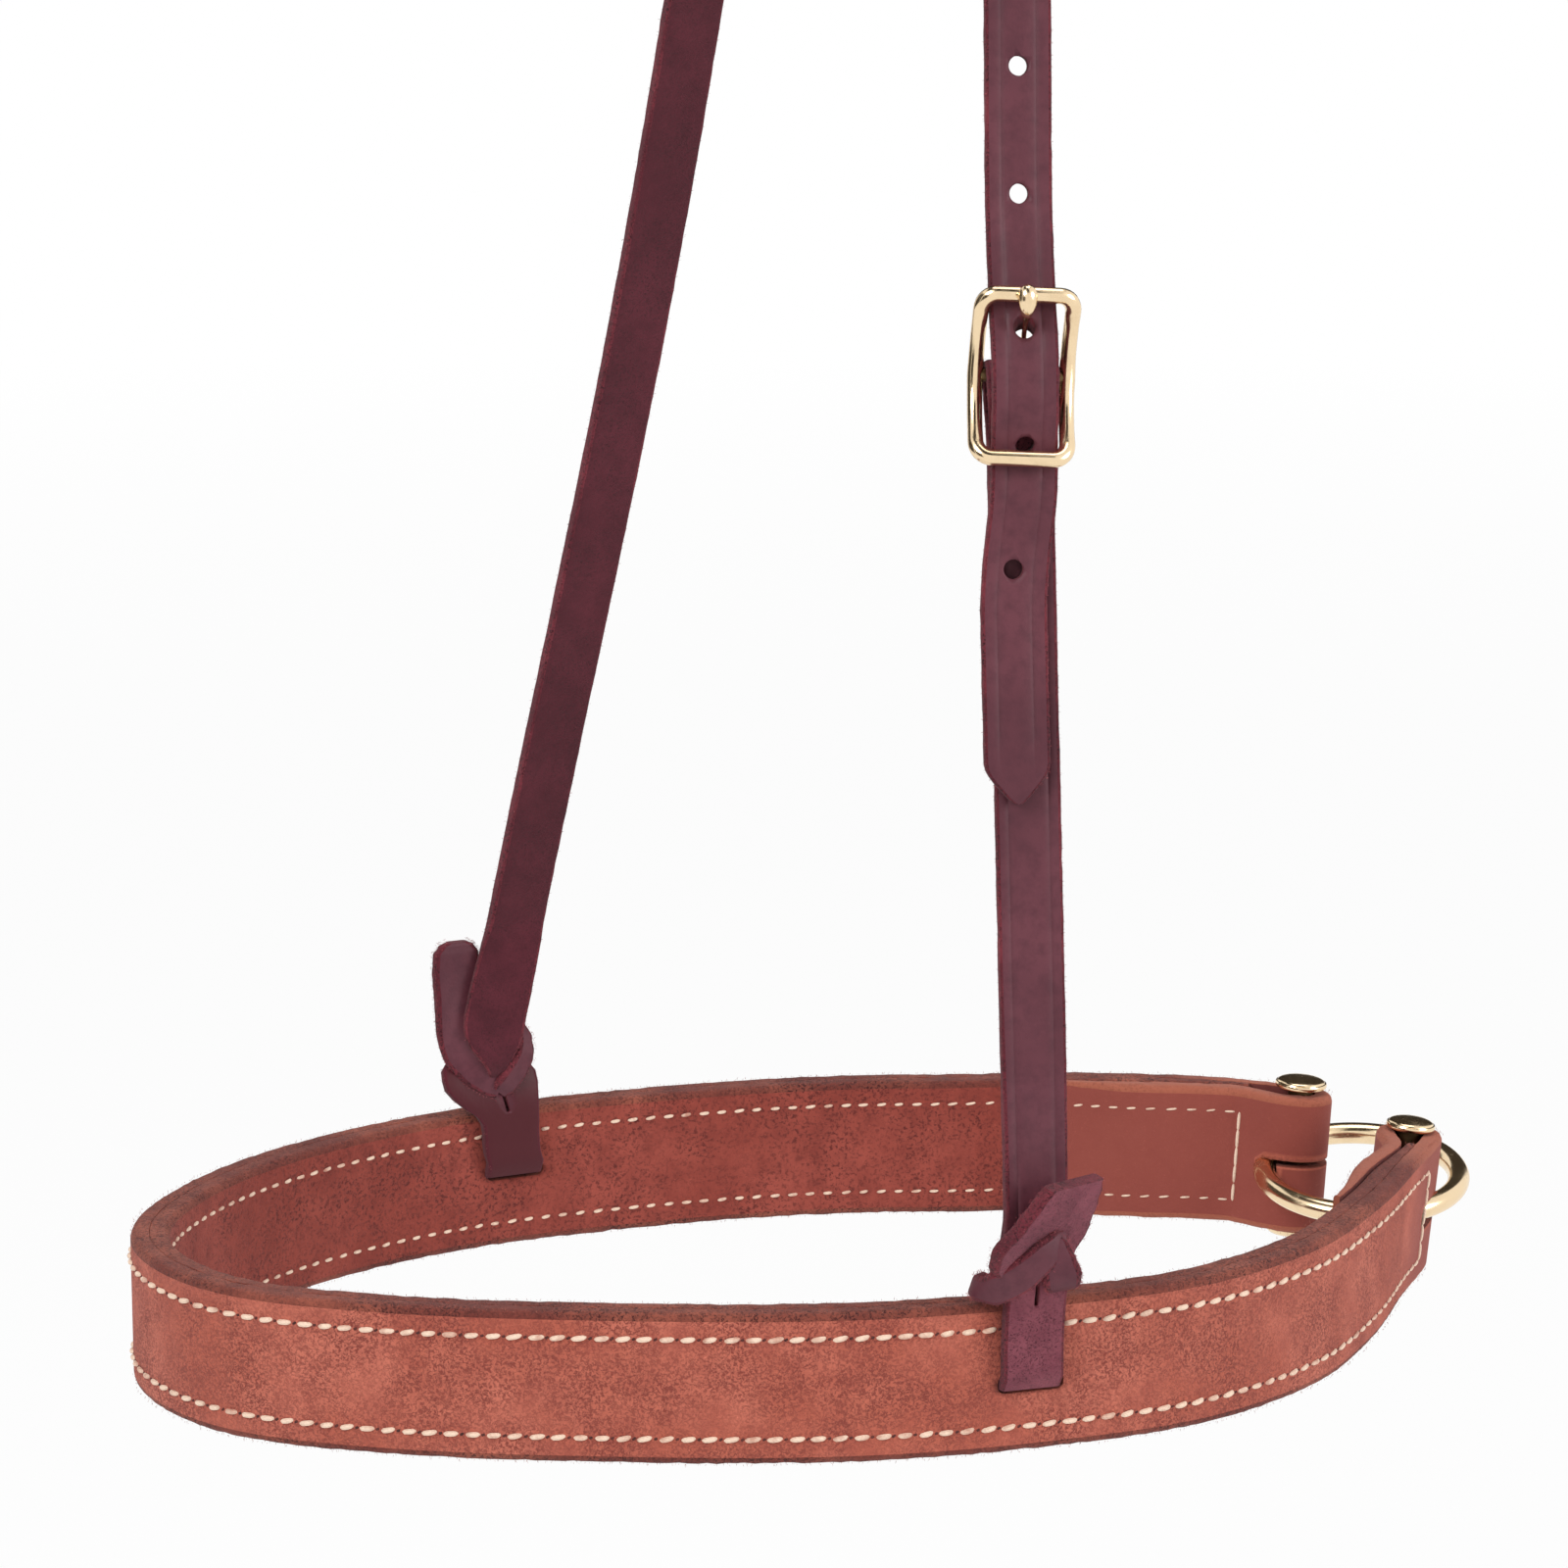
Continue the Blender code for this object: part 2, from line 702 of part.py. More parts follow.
def strap(name, stations, mat, group=None, rounded=True):
    """A flat strap through stations of centre, the way its width runs, width and thickness."""
    work = bmesh.new()
    rows = []
    ways = directions([Vector(station[0]) for station in stations])
    for (centre, across, width, thick), way in zip(stations, ways):
        across = Vector(across).normalized()
        normal = across.cross(way).normalized()
        rows.append((Vector(centre), across * width / 2, normal * thick / 2))
    rings = []
    for centre, half, rise in rows:
        corners = (half + rise, half - rise, -half - rise, -half + rise)
        rings.append([work.verts.new((centre + corner) * MM) for corner in corners])
    for lower, upper in zip(rings, rings[1:]):
        for side in range(4):
            after = (side + 1) % 4
            work.faces.new((lower[side], lower[after], upper[after], upper[side]))
    work.faces.new(list(reversed(rings[0])))
    work.faces.new(rings[-1])
    bmesh.ops.recalc_face_normals(work, faces=work.faces)
    mesh = bpy.data.meshes.new(name)
    work.to_mesh(mesh)
    work.free()
    item = new_object(name, mesh, group or parts, mat)
    if rounded:
        add_bevel(item, STRAP_EDGE_ROUND, segments=1)
    return bake(item)


def stations_through(keys, steps=4):
    """Smooth stations through a few keys of centre, width direction, width and thickness."""
    centres = smooth_path([key[0] for key in keys], steps=steps)
    found = []
    for index, centre in enumerate(centres):
        low = min(index // steps, len(keys) - 2)
        part = index / steps - low
        across = Vector(keys[low][1]).lerp(Vector(keys[low + 1][1]), part)
        found.append((centre, across, mix(keys[low][2], keys[low + 1][2], part),
                      mix(keys[low][3], keys[low + 1][3], part)))
    return found


class Tie:
    """Where the hanger is tied to the band: along its face, off it and up."""

    def __init__(self, place, angle, flex):
        self.place = Vector((*place, 0.0))
        self.run = Vector((math.cos(angle), math.sin(angle), 0.0))
        self.off = Vector((math.sin(angle), -math.cos(angle), 0.0))
        self.flex = self.point(flex[0], flex[1], FLEX_HEIGHT)
        self.flex_run, self.flex_off = flex

    def point(self, run, off, up):
        return self.place + self.run * run + self.off * off + Vector((0.0, 0.0, up))

    def way(self, run, up):
        return self.run * run + Vector((0.0, 0.0, up))


class Leg:
    """A leg of the hanger: across its width, outward from it and up it, with a slight bow."""

    def __init__(self, tie, angle, bow):
        self.foot = tie.flex
        self.bow, self.bow_reach = bow
        self.up = (Vector(LEGS_MEET) - tie.flex).normalized()
        width = Vector((math.cos(angle), math.sin(angle), 0.0))
        self.across = (width - self.up * width.dot(self.up)).normalized()
        self.out = self.across.cross(self.up)

    def point(self, across, out, up):
        share = min(1.0, max(0.0, up / self.bow_reach))
        across += self.bow * math.sin(math.pi * share) ** 2
        return self.foot + self.across * across + self.out * out + self.up * up

    def matrix(self, across, out, up):
        """Local X runs across the leg, Y inward and Z up it."""
        turn = Matrix((self.across, -self.out, self.up)).transposed().to_4x4()
        return Matrix.Translation(self.point(across, out, up) * MM) @ turn


def loop_stations(tie, front_top, front_out):
    """The tied strap: down the face, through the slot and up behind to the flex line."""
    back = OUTER_PLY + PLY_GAP + LINER + TIE_OFF_FACE
    front = TIE_OFF_FACE + front_out
    low = TIE_SLOT_MID
    profile = [front_top, (front + 0.4, 29.0), (front, 24.0), (front, 19.0)]
    for index in range(5):
        turn = math.pi / 2 * index / 4
        profile.append((front - TIE_BEND * (1 - math.cos(turn)),
                        low + TIE_BEND * (1 - math.sin(turn))))
    for index in range(5):
        turn = math.pi / 2 * index / 4
        profile.append((-back + TIE_BEND * (1 - math.sin(turn)),
                        low + TIE_BEND * (1 - math.cos(turn))))
    rear = [(-back, 19.0), (-back, 25.5), (mix(-back, tie.flex_off, 0.3), 30.0),
            (mix(-back, tie.flex_off, 0.8), 34.0), (tie.flex_off, 38.0),
            (tie.flex_off, FLEX_HEIGHT)]
    profile += rear
    found = []
    for index, (off, up) in enumerate(profile):
        share = ease((index + 1 - (len(profile) - len(rear))) / len(rear))
        found.append((tie.point(tie.flex_run * share, off, up), tie.run, STRAP_WIDTH,
                      STRAP_THICK))
    return found


def make_knot(name, tie, front, ribbons, swing_way, mat):
    """One tied end of the hanger: its loop through the band and its crossing strands."""
    body = strap(name, loop_stations(tie, *front), mat)
    socket = rod(
        name + "_flex_socket", FLEX_SOCKET, FLEX_SOCKET_LONG, tie.flex, swing_way, cutters,
    )
    cut(body, as_cutter(socket))
    bake(body)
    for index, keys in enumerate(ribbons):
        placed = [
            (tie.point(*centre), tie.way(*across), width, thick)
            for centre, across, width, thick in keys
        ]
        piece = strap(
            f"{name}_strand_{index}", stations_through(placed), mat, cutters, rounded=False,
        )
        cut(body, as_cutter(piece), "UNION")
    bake(body)
    shade(body)
    return body


def round_end(leg, first_across):
    """Stations of a leg's rounded foot, centred on its flex line."""
    half = STRAP_WIDTH / 2
    found = []
    for turn in (80.0, 62.0, 42.0, 20.0):
        drop = half * math.sin(math.radians(turn))
        width = STRAP_WIDTH * math.cos(math.radians(turn))
        found.append((leg.point(0.0, 0.0, -drop), first_across, width, STRAP_THICK))
    return found


def leg_across(tie, leg, crown_across, distance):
    """The way a leg's width runs, turning from its tie to the crown."""
    settled = Vector(tie.run).lerp(leg.across, ease(distance / SETTLE_LENGTH))
    return settled.lerp(crown_across, ease((distance - TWIST_FROM) / TWIST_LENGTH))


def spread(start, end, step=LEG_STEP):
    count = max(1, round(abs(end - start) / step))
    return [mix(start, end, index / count) for index in range(count)]


def cheek_stations(tie, leg, crown_across):
    """Up from the near knot, over the buckle's centre bar and back down in front."""
    found = round_end(leg, tie.run)
    for up in spread(0.0, BUCKLE_AT - 12.0):
        found.append((leg.point(0.0, 0.0, up), leg_across(tie, leg, crown_across, up),
                      STRAP_WIDTH, STRAP_THICK))
    middle = FOLD_SPACE + FOLD_THICK / 2
    back = BUCKLE_BAR_OFF - middle
    for drop in (8.0, 4.0):
        share = ease((12.0 - drop) / 8.0)
        found.append((leg.point(0.0, back * share, BUCKLE_AT - drop), leg.across,
                      STRAP_WIDTH, mix(STRAP_THICK, FOLD_THICK, share)))
    for index in range(9):
        turn = math.pi * index / 8
        found.append((leg.point(0.0, BUCKLE_BAR_OFF - middle * math.cos(turn),
                                BUCKLE_AT + middle * math.sin(turn)),
                      leg.across, STRAP_WIDTH, FOLD_THICK))
    flap = FOLD_THICK * 0.7
    rest = STRAP_THICK / 2 + PLY_GAP + flap / 2
    front = BUCKLE_BAR_OFF + middle
    for drop in (2.0, 4.0, 6.0, 8.0, 14.0, FOLD_RETURN):
        share = ease(drop / 8.0)
        found.append((leg.point(0.0, mix(front, rest, share), BUCKLE_AT - drop), leg.across,
                      STRAP_WIDTH, mix(FOLD_THICK, flap, share)))
    return found


def billet_keys():
    """The billet's course through the buckle: outward place and height from the bar."""
    low = STRAP_THICK + PLY_GAP
    over_fold = low + PLY_GAP + FOLD_THICK * 0.7
    top = BUCKLE_BAR_OFF + FOLD_SPACE + FOLD_THICK + PLY_GAP + STRAP_THICK / 2
    return (
        (low, -40.0), (low, -28.0), (over_fold, -20.0), (over_fold, -12.8),
        (over_fold + 0.8, -9.8), (top - 0.3, -5.0), (top, 0.0), (top - 0.3, 5.0),
        (over_fold + 0.8, 9.8), (over_fold, 12.8), (over_fold - 0.6, 16.0), (2.4, 21.0),
        (1.2, 28.0), (1.0, 34.0),
    )


def billet_stations(leg):
    """The billet: its pointed tip, its straight run and its passage of the buckle."""
    low = STRAP_THICK + PLY_GAP
    found = []
    for drop, width in ((BILLET_TIP, 2.4), (BILLET_TIP - 1.2, 5.6), (BILLET_TIP - 4.0, 9.0),
                        (BILLET_TIP - 8.0, STRAP_WIDTH)):
        found.append((leg.point(BILLET_SHIFT, low, BUCKLE_AT - drop), leg.across, width,
                      STRAP_THICK))
    for drop in spread(BILLET_TIP - 16.0, 46.0):
        found.append((leg.point(BILLET_SHIFT, low, BUCKLE_AT - drop), leg.across,
                      STRAP_WIDTH, STRAP_THICK))
    keys = billet_keys()
    path = smooth_path([(out, 0.0, up) for out, up in keys], steps=2)
    for place in path:
        share = ease((place.z + 40.0) / 26.0)
        found.append((leg.point(mix(BILLET_SHIFT, 0.0, share), place.x,
                                BUCKLE_AT + place.z), leg.across, STRAP_WIDTH, STRAP_THICK))
    return found


def crown_stations(near_tie, near, far_tie, far):
    """Billet, near leg above the buckle, crown and far leg, in one strap."""
    meet = Vector(LEGS_MEET)
    middle = (near.up + far.up).normalized()
    crown_across = near.up.cross(far.up).normalized()
    half_angle = near.up.angle(far.up) / 2
    centre = meet - middle * (CROWN_RADIUS / math.sin(half_angle))
    run = CROWN_RADIUS / math.tan(half_angle)
    found = billet_stations(near)
    near_top = (meet - near.foot).length - run
    far_top = (meet - far.foot).length - run
    for up in spread(BUCKLE_AT + BILLET_CLEAR, near_top):
        share = ease((up - BUCKLE_AT - BILLET_CLEAR) / BILLET_SETTLE)
        found.append((near.point(0.0, mix(1.0, 0.0, share), up),
                      leg_across(near_tie, near, crown_across, up), STRAP_WIDTH, STRAP_THICK))
    side = (near.up - middle * near.up.dot(middle)).normalized()
    start = math.pi / 2 + half_angle
    for index in range(CROWN_STEPS + 1):
        turn = mix(-start, start, index / CROWN_STEPS)
        place = centre + middle * CROWN_RADIUS * math.cos(turn)
        place += side * CROWN_RADIUS * math.sin(turn)
        found.append((place, crown_across, STRAP_WIDTH, STRAP_THICK))
    for up in spread(far_top, 0.0)[1:]:
        found.append((far.point(0.0, 0.0, up), leg_across(far_tie, far, crown_across, up),
                      STRAP_WIDTH, STRAP_THICK))
    found.append((far.point(0.0, 0.0, 0.0), far_tie.run, STRAP_WIDTH, STRAP_THICK))
    found.extend(reversed(round_end(far, far_tie.run)))
    crown = centre + middle * (CROWN_RADIUS - STRAP_THICK / 2)
    return found, crown


def buckle_curve(height):
    """How far out the buckle's curved frame stands at a height from its bar."""
    share = (height / BUCKLE_HALF_HIGH) ** 2
    return mix(BUCKLE_BAR_OFF, BUCKLE_FACE, min(1.0, share))


def frame_outline():
    """The buckle frame's middle line as (across, up), with points down its sides."""
    side_end = BUCKLE_HALF_HIGH - BUCKLE_CORNER
    found = []
    for index, (side, top) in enumerate(((1, 1), (-1, 1), (-1, -1), (1, -1))):
        for step in range(6):
            turn = math.pi / 2 * (index + step / 5)
            found.append((
                side * (BUCKLE_HALF_WIDE - BUCKLE_CORNER) + BUCKLE_CORNER * math.cos(turn),
                top * side_end + BUCKLE_CORNER * math.sin(turn),
            ))
        if side == -top:
            for share in (0.6, 0.2, -0.2, -0.6):
                found.append((side * BUCKLE_HALF_WIDE, top * side_end * share))
    return found


def make_buckle(leg, root):
    """The brass buckle: its curved frame with the centre bar, and its prong."""
    brass = material("buckle_brass", BRASS, 0.25, 1.0)
    rise = BUCKLE_FACE - BUCKLE_BAR_OFF
    points = []
    for across, up in frame_outline():
        points.append((across, -rise * (up / BUCKLE_HALF_HIGH) ** 2, up))
    frame = wire(
        "buckle_frame", points, [BUCKLE_WIRE] * len(points), parts, brass, cyclic=True,
    )
    bar = rod(
        "buckle_centre_bar", BUCKLE_BAR, 2 * BUCKLE_HALF_WIDE, (0.0, 0.0, 0.0),
        (1.0, 0.0, 0.0), cutters, sides=16,
    )
    cut(frame, as_cutter(bar), "UNION")
    bake(frame)

    wrap = BUCKLE_BAR + SEAT_GAP + PRONG_NECK
    path, radii = [], []
    for index in range(13):
        turn = math.radians(mix(85.0, 360.0, index / 12))
        path.append((0.0, -wrap * math.cos(turn), wrap * math.sin(turn)))
        radii.append(PRONG_NECK)
    for out, up, radius in PRONG_SHAFT:
        path.append((0.0, -out, up))
        radii.append(radius)
    prong = wire("buckle_prong", path, radii, parts, brass, resolution=2)
    for item in (frame, prong):
        shade(item)
        item.matrix_world = leg.matrix(0.0, BUCKLE_BAR_OFF, BUCKLE_AT)
        attach(item, root)


def punch_holes(crown_strap, leg):
    """The billet's holes; the one the prong stands in is drawn long by it."""
    aims = [((1.2, height), (1.0, 0.0)) for height in HOLE_HEIGHTS]
    aims += [(CURVE_HOLE, CURVE_HOLE_AIM), (PRONG_HOLE, PRONG_HOLE_AIM)]
    for index, ((out, height), (aim_out, aim_up)) in enumerate(aims):
        shift = BILLET_SHIFT if height < CURVE_HOLE[1] else 0.0
        place = leg.point(shift, out, BUCKLE_AT + height)
        punch = rod(
            f"hole_punch_{index}", HOLE_RADIUS, 8.0, place,
            leg.out * aim_out + leg.up * aim_up, cutters, sides=20,
        )
        cut(crown_strap, as_cutter(punch))
    return bake(crown_strap)


def make_straps(root, swing):
    """The knots, the cheek strap, and the crown strap with its billet."""
    plum = material("hanger_leather", LEATHER_PLUM, 0.5)
    near_tie = Tie(NEAR_TIE, NEAR_TIE_ANGLE, NEAR_FLEX)
    far_tie = Tie(FAR_TIE, FAR_TIE_ANGLE, FAR_FLEX)
    swing_way = (far_tie.flex - near_tie.flex).normalized()
    near_knot = make_knot(
        "near_knot", near_tie, (NEAR_FRONT_TOP, 0.0), (NEAR_WINGS, NEAR_TAIL), swing_way, plum,
    )
    far_knot = make_knot(
        "far_knot", far_tie, (FAR_FRONT_TOP, FAR_TIE_OUT), (FAR_WINGS, FAR_TAIL), swing_way,
        plum,
    )
    for item in (near_knot, far_knot):
        attach(item, swing)

    near = Leg(near_tie, NEAR_LEG_ANGLE, NEAR_LEG_BOW)
    far = Leg(far_tie, FAR_LEG_ANGLE, FAR_LEG_BOW)
    stations, crown = crown_stations(near_tie, near, far_tie, far)
    crown_strap = punch_holes(strap("crown_strap", stations, plum), near)
    crown_across = near.up.cross(far.up).normalized()
    cheek = strap("cheek_strap", cheek_stations(near_tie, near, crown_across), plum)
    slot = block(
        "prong_slot", (PRONG_SLOT_WIDE, PRONG_SLOT_LONG, PRONG_SLOT_LONG),
        near.matrix(0.0, BUCKLE_BAR_OFF, BUCKLE_AT + PRONG_SLOT_LONG / 2 - PRONG_SLOT_DROP),
        cutters,
    )
    cut(cheek, as_cutter(slot))
    bake(cheek)
    for item in (crown_strap, cheek):
        shade(item)
        attach(item, root)
    make_buckle(near, root)
    return near_tie.flex, far_tie.flex, crown


def main():
    global parts, cutters
    clear_scene()
    parts = new_collection("tie_down_noseband")
    cutters = new_collection("cutters")
    root = bpy.data.objects.new("hanging_root", None)
    swing = bpy.data.objects.new("noseband_swing", None)
    for empty in (root, swing):
        parts.objects.link(empty)
    near_flex = Tie(NEAR_TIE, NEAR_TIE_ANGLE, NEAR_FLEX).flex
    far_flex = Tie(FAR_TIE, FAR_TIE_ANGLE, FAR_FLEX).flex
    swing.location = (near_flex + far_flex) * MM / 2
    attach(swing, root)
    make_band(swing)
    make_posts(swing)
    make_ring(swing)
    near_flex, far_flex, crown = make_straps(root, swing)
    root.location = -crown * MM


main()
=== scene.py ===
"""Looks of the tie-down noseband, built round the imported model.

The noseband hangs from a narrow buckled hanger. Every length in the classes below is in
millimetres in the band's own layout (X from the nose to the ring, Y from the near side to
the far side, Z up from the band's lower edge); `place` turns it into metres in the frame.
"""
import logging
import random
from dataclasses import dataclass, field
from enum import Enum
from math import ceil, cos, dist, exp, pi, radians, sin, tan, tau
from typing import Callable, Iterable, Sequence

import bmesh
import bpy
from bmesh.types import BMVert
from bpy.types import Material, Node, NodeSocket, NodeTree, Object
from mathutils import Matrix, Vector, noise
from mathutils.geometry import interpolate_bezier


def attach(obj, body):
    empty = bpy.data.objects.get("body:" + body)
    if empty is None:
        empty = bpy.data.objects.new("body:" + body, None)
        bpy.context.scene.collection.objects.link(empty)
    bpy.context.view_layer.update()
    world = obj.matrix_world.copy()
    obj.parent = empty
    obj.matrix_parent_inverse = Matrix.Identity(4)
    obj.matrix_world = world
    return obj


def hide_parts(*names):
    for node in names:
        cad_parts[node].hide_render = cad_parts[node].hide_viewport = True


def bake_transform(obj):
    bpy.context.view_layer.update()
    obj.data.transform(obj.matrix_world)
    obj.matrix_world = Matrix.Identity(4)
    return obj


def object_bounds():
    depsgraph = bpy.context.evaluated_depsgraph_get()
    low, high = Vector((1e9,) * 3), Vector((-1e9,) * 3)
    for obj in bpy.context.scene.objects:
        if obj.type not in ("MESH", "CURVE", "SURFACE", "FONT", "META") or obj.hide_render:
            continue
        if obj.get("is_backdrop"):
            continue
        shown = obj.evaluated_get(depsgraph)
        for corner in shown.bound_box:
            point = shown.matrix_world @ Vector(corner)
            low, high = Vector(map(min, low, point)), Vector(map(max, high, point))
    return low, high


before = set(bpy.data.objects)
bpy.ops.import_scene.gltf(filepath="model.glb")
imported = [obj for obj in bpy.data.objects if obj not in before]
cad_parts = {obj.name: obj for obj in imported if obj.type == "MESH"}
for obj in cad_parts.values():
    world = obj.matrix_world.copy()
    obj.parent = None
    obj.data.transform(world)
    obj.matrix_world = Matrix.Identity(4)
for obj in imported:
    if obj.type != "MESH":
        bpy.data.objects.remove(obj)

LOG = logging.getLogger("noseband")
MM = 0.001
CROWN_REST = Vector((26.7252, 71.4726, 420.1177))
Colour = tuple[float, float, float]
Station = tuple[Vector, Vector, Vector]
Outline = Sequence[tuple[float, float]]
Given = float | Colour | NodeSocket
Warp = Callable[[Vector], Vector]
WHITE = (1.0, 1.0, 1.0)
UP = Vector((0.0, 0.0, 1.0))
NOISE_SEED = 3
NOISE_SCALE = 1.1
PUNCH_SIDES = 28
CORNER_STEPS = 4
FRINGE = [(sign, rise) for sign in (-1.0, 1.0) for rise in (-0.35, 0.1, 0.4)]


class Face(Enum):
    """Which side of a strip of leather a patch of its surface is on."""

    GRAIN = 0
    FLESH = 1
    EDGE = 2
    NAP = 3


def place(point: Vector) -> Vector:
    """Turn a point of the band's layout, in millimetres, into the frame's metres."""
    return (Vector(point) - CROWN_REST) * MM


def ease(value: float) -> float:
    """Smooth step from 0 to 1."""
    value = min(1.0, max(0.0, value))
    return value * value * (3.0 - 2.0 * value)


def mix(first: float, second: float, share: float) -> float:
    """Linear mix of two numbers."""
    return first + (second - first) * share


def heading(angle: float) -> Vector:
    """Plan direction at an angle in radians from X."""
    return Vector((cos(angle), sin(angle)))


def inward(direction: Vector) -> Vector:
    """The side of a plan direction that faces the inside of the band."""
    return Vector((direction.y, -direction.x))


def smooth_path(points: Iterable[Sequence[float]], steps: int,
                first: Vector | None = None, last: Vector | None = None) -> list[Vector]:
    """Run a smooth curve through points.

    Args:
        points: the points that the curve passes.
        steps: how many pieces each span is cut into.
        first: direction at the start, if it is given.
        last: direction at the end, if it is given.

    Returns:
        The points of the curve.
    """
    knots = [Vector(point) for point in points]
    tangents = []
    for index in range(len(knots)):
        before, after = knots[max(index - 1, 0)], knots[min(index + 1, len(knots) - 1)]
        tangents.append((after - before).normalized())
    if first is not None:
        tangents[0] = first.normalized()
    if last is not None:
        tangents[-1] = last.normalized()
    path = [knots[0]]
    for index in range(len(knots) - 1):
        start, end = knots[index], knots[index + 1]
        reach = (end - start).length / 3.0
        span = interpolate_bezier(start, start + tangents[index] * reach,
                                  end - tangents[index + 1] * reach, end, steps + 1)
        path.extend(span[1:])
    return path


def directions(path: Sequence[Vector]) -> list[Vector]:
    """The direction of a path at each of its points."""
    last = len(path) - 1
    return [(path[min(i + 1, last)] - path[max(i - 1, 0)]).normalized()
            for i in range(len(path))]


def lengths(path: Sequence[Vector]) -> list[float]:
    """Distance from the start of a path to each of its points.

    Args:
        path: its points.

    Returns:
        One distance for each point.
    """
    found = [0.0]
    for start, end in zip(path, path[1:]):
        found.append(found[-1] + (end - start).length)
    return found


def even_marks(path: Sequence[Vector], spacing: float) -> list[tuple[int, float]]:
    """Even steps along a path, each as the number of its span and its share of that span.

    Args:
        path: its points.
        spacing: about how long each step is.

    Returns:
        The (span, share) of each step.
    """
    marks = lengths(path)
    count = max(2, round(marks[-1] / spacing))
    found, index = [], 0
    for step in range(count + 1):
        distance = marks[-1] * step / count
        while index < len(marks) - 2 and marks[index + 1] < distance:
            index += 1
        span = marks[index + 1] - marks[index]
        found.append((index, min(1.0, (distance - marks[index]) / span) if span else 0.0))
    return found


def circle(centre: Vector, first: Vector, second: Vector, count: int) -> list[Vector]:
    """Points round a centre, from the end of its first half-axis towards the second."""
    return [centre + first * cos(tau * k / count) + second * sin(tau * k / count)
            for k in range(count)]


def link(name: str, data: bpy.types.ID) -> Object:
    """Put a new object in the scene.

    Args:
        name: name of the object.
        data: its mesh, lamp or camera.

    Returns:
        The object.
    """
    made = bpy.data.objects.new(name, data)
    bpy.context.scene.collection.objects.link(made)
    return made


def seat(piece: Object, body: str | None = None, node: str | None = None) -> Object:
    """Give a piece its place in the frame.

    Args:
        piece: the finished piece.
        body: body that it rides on, or None to leave it on no body.
        node: CAD node that it stands for, if there is one.

    Returns:
        The piece.
    """
    if node:
        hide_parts(node)
    if body:
        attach(piece, body)
    return piece


# Meshes


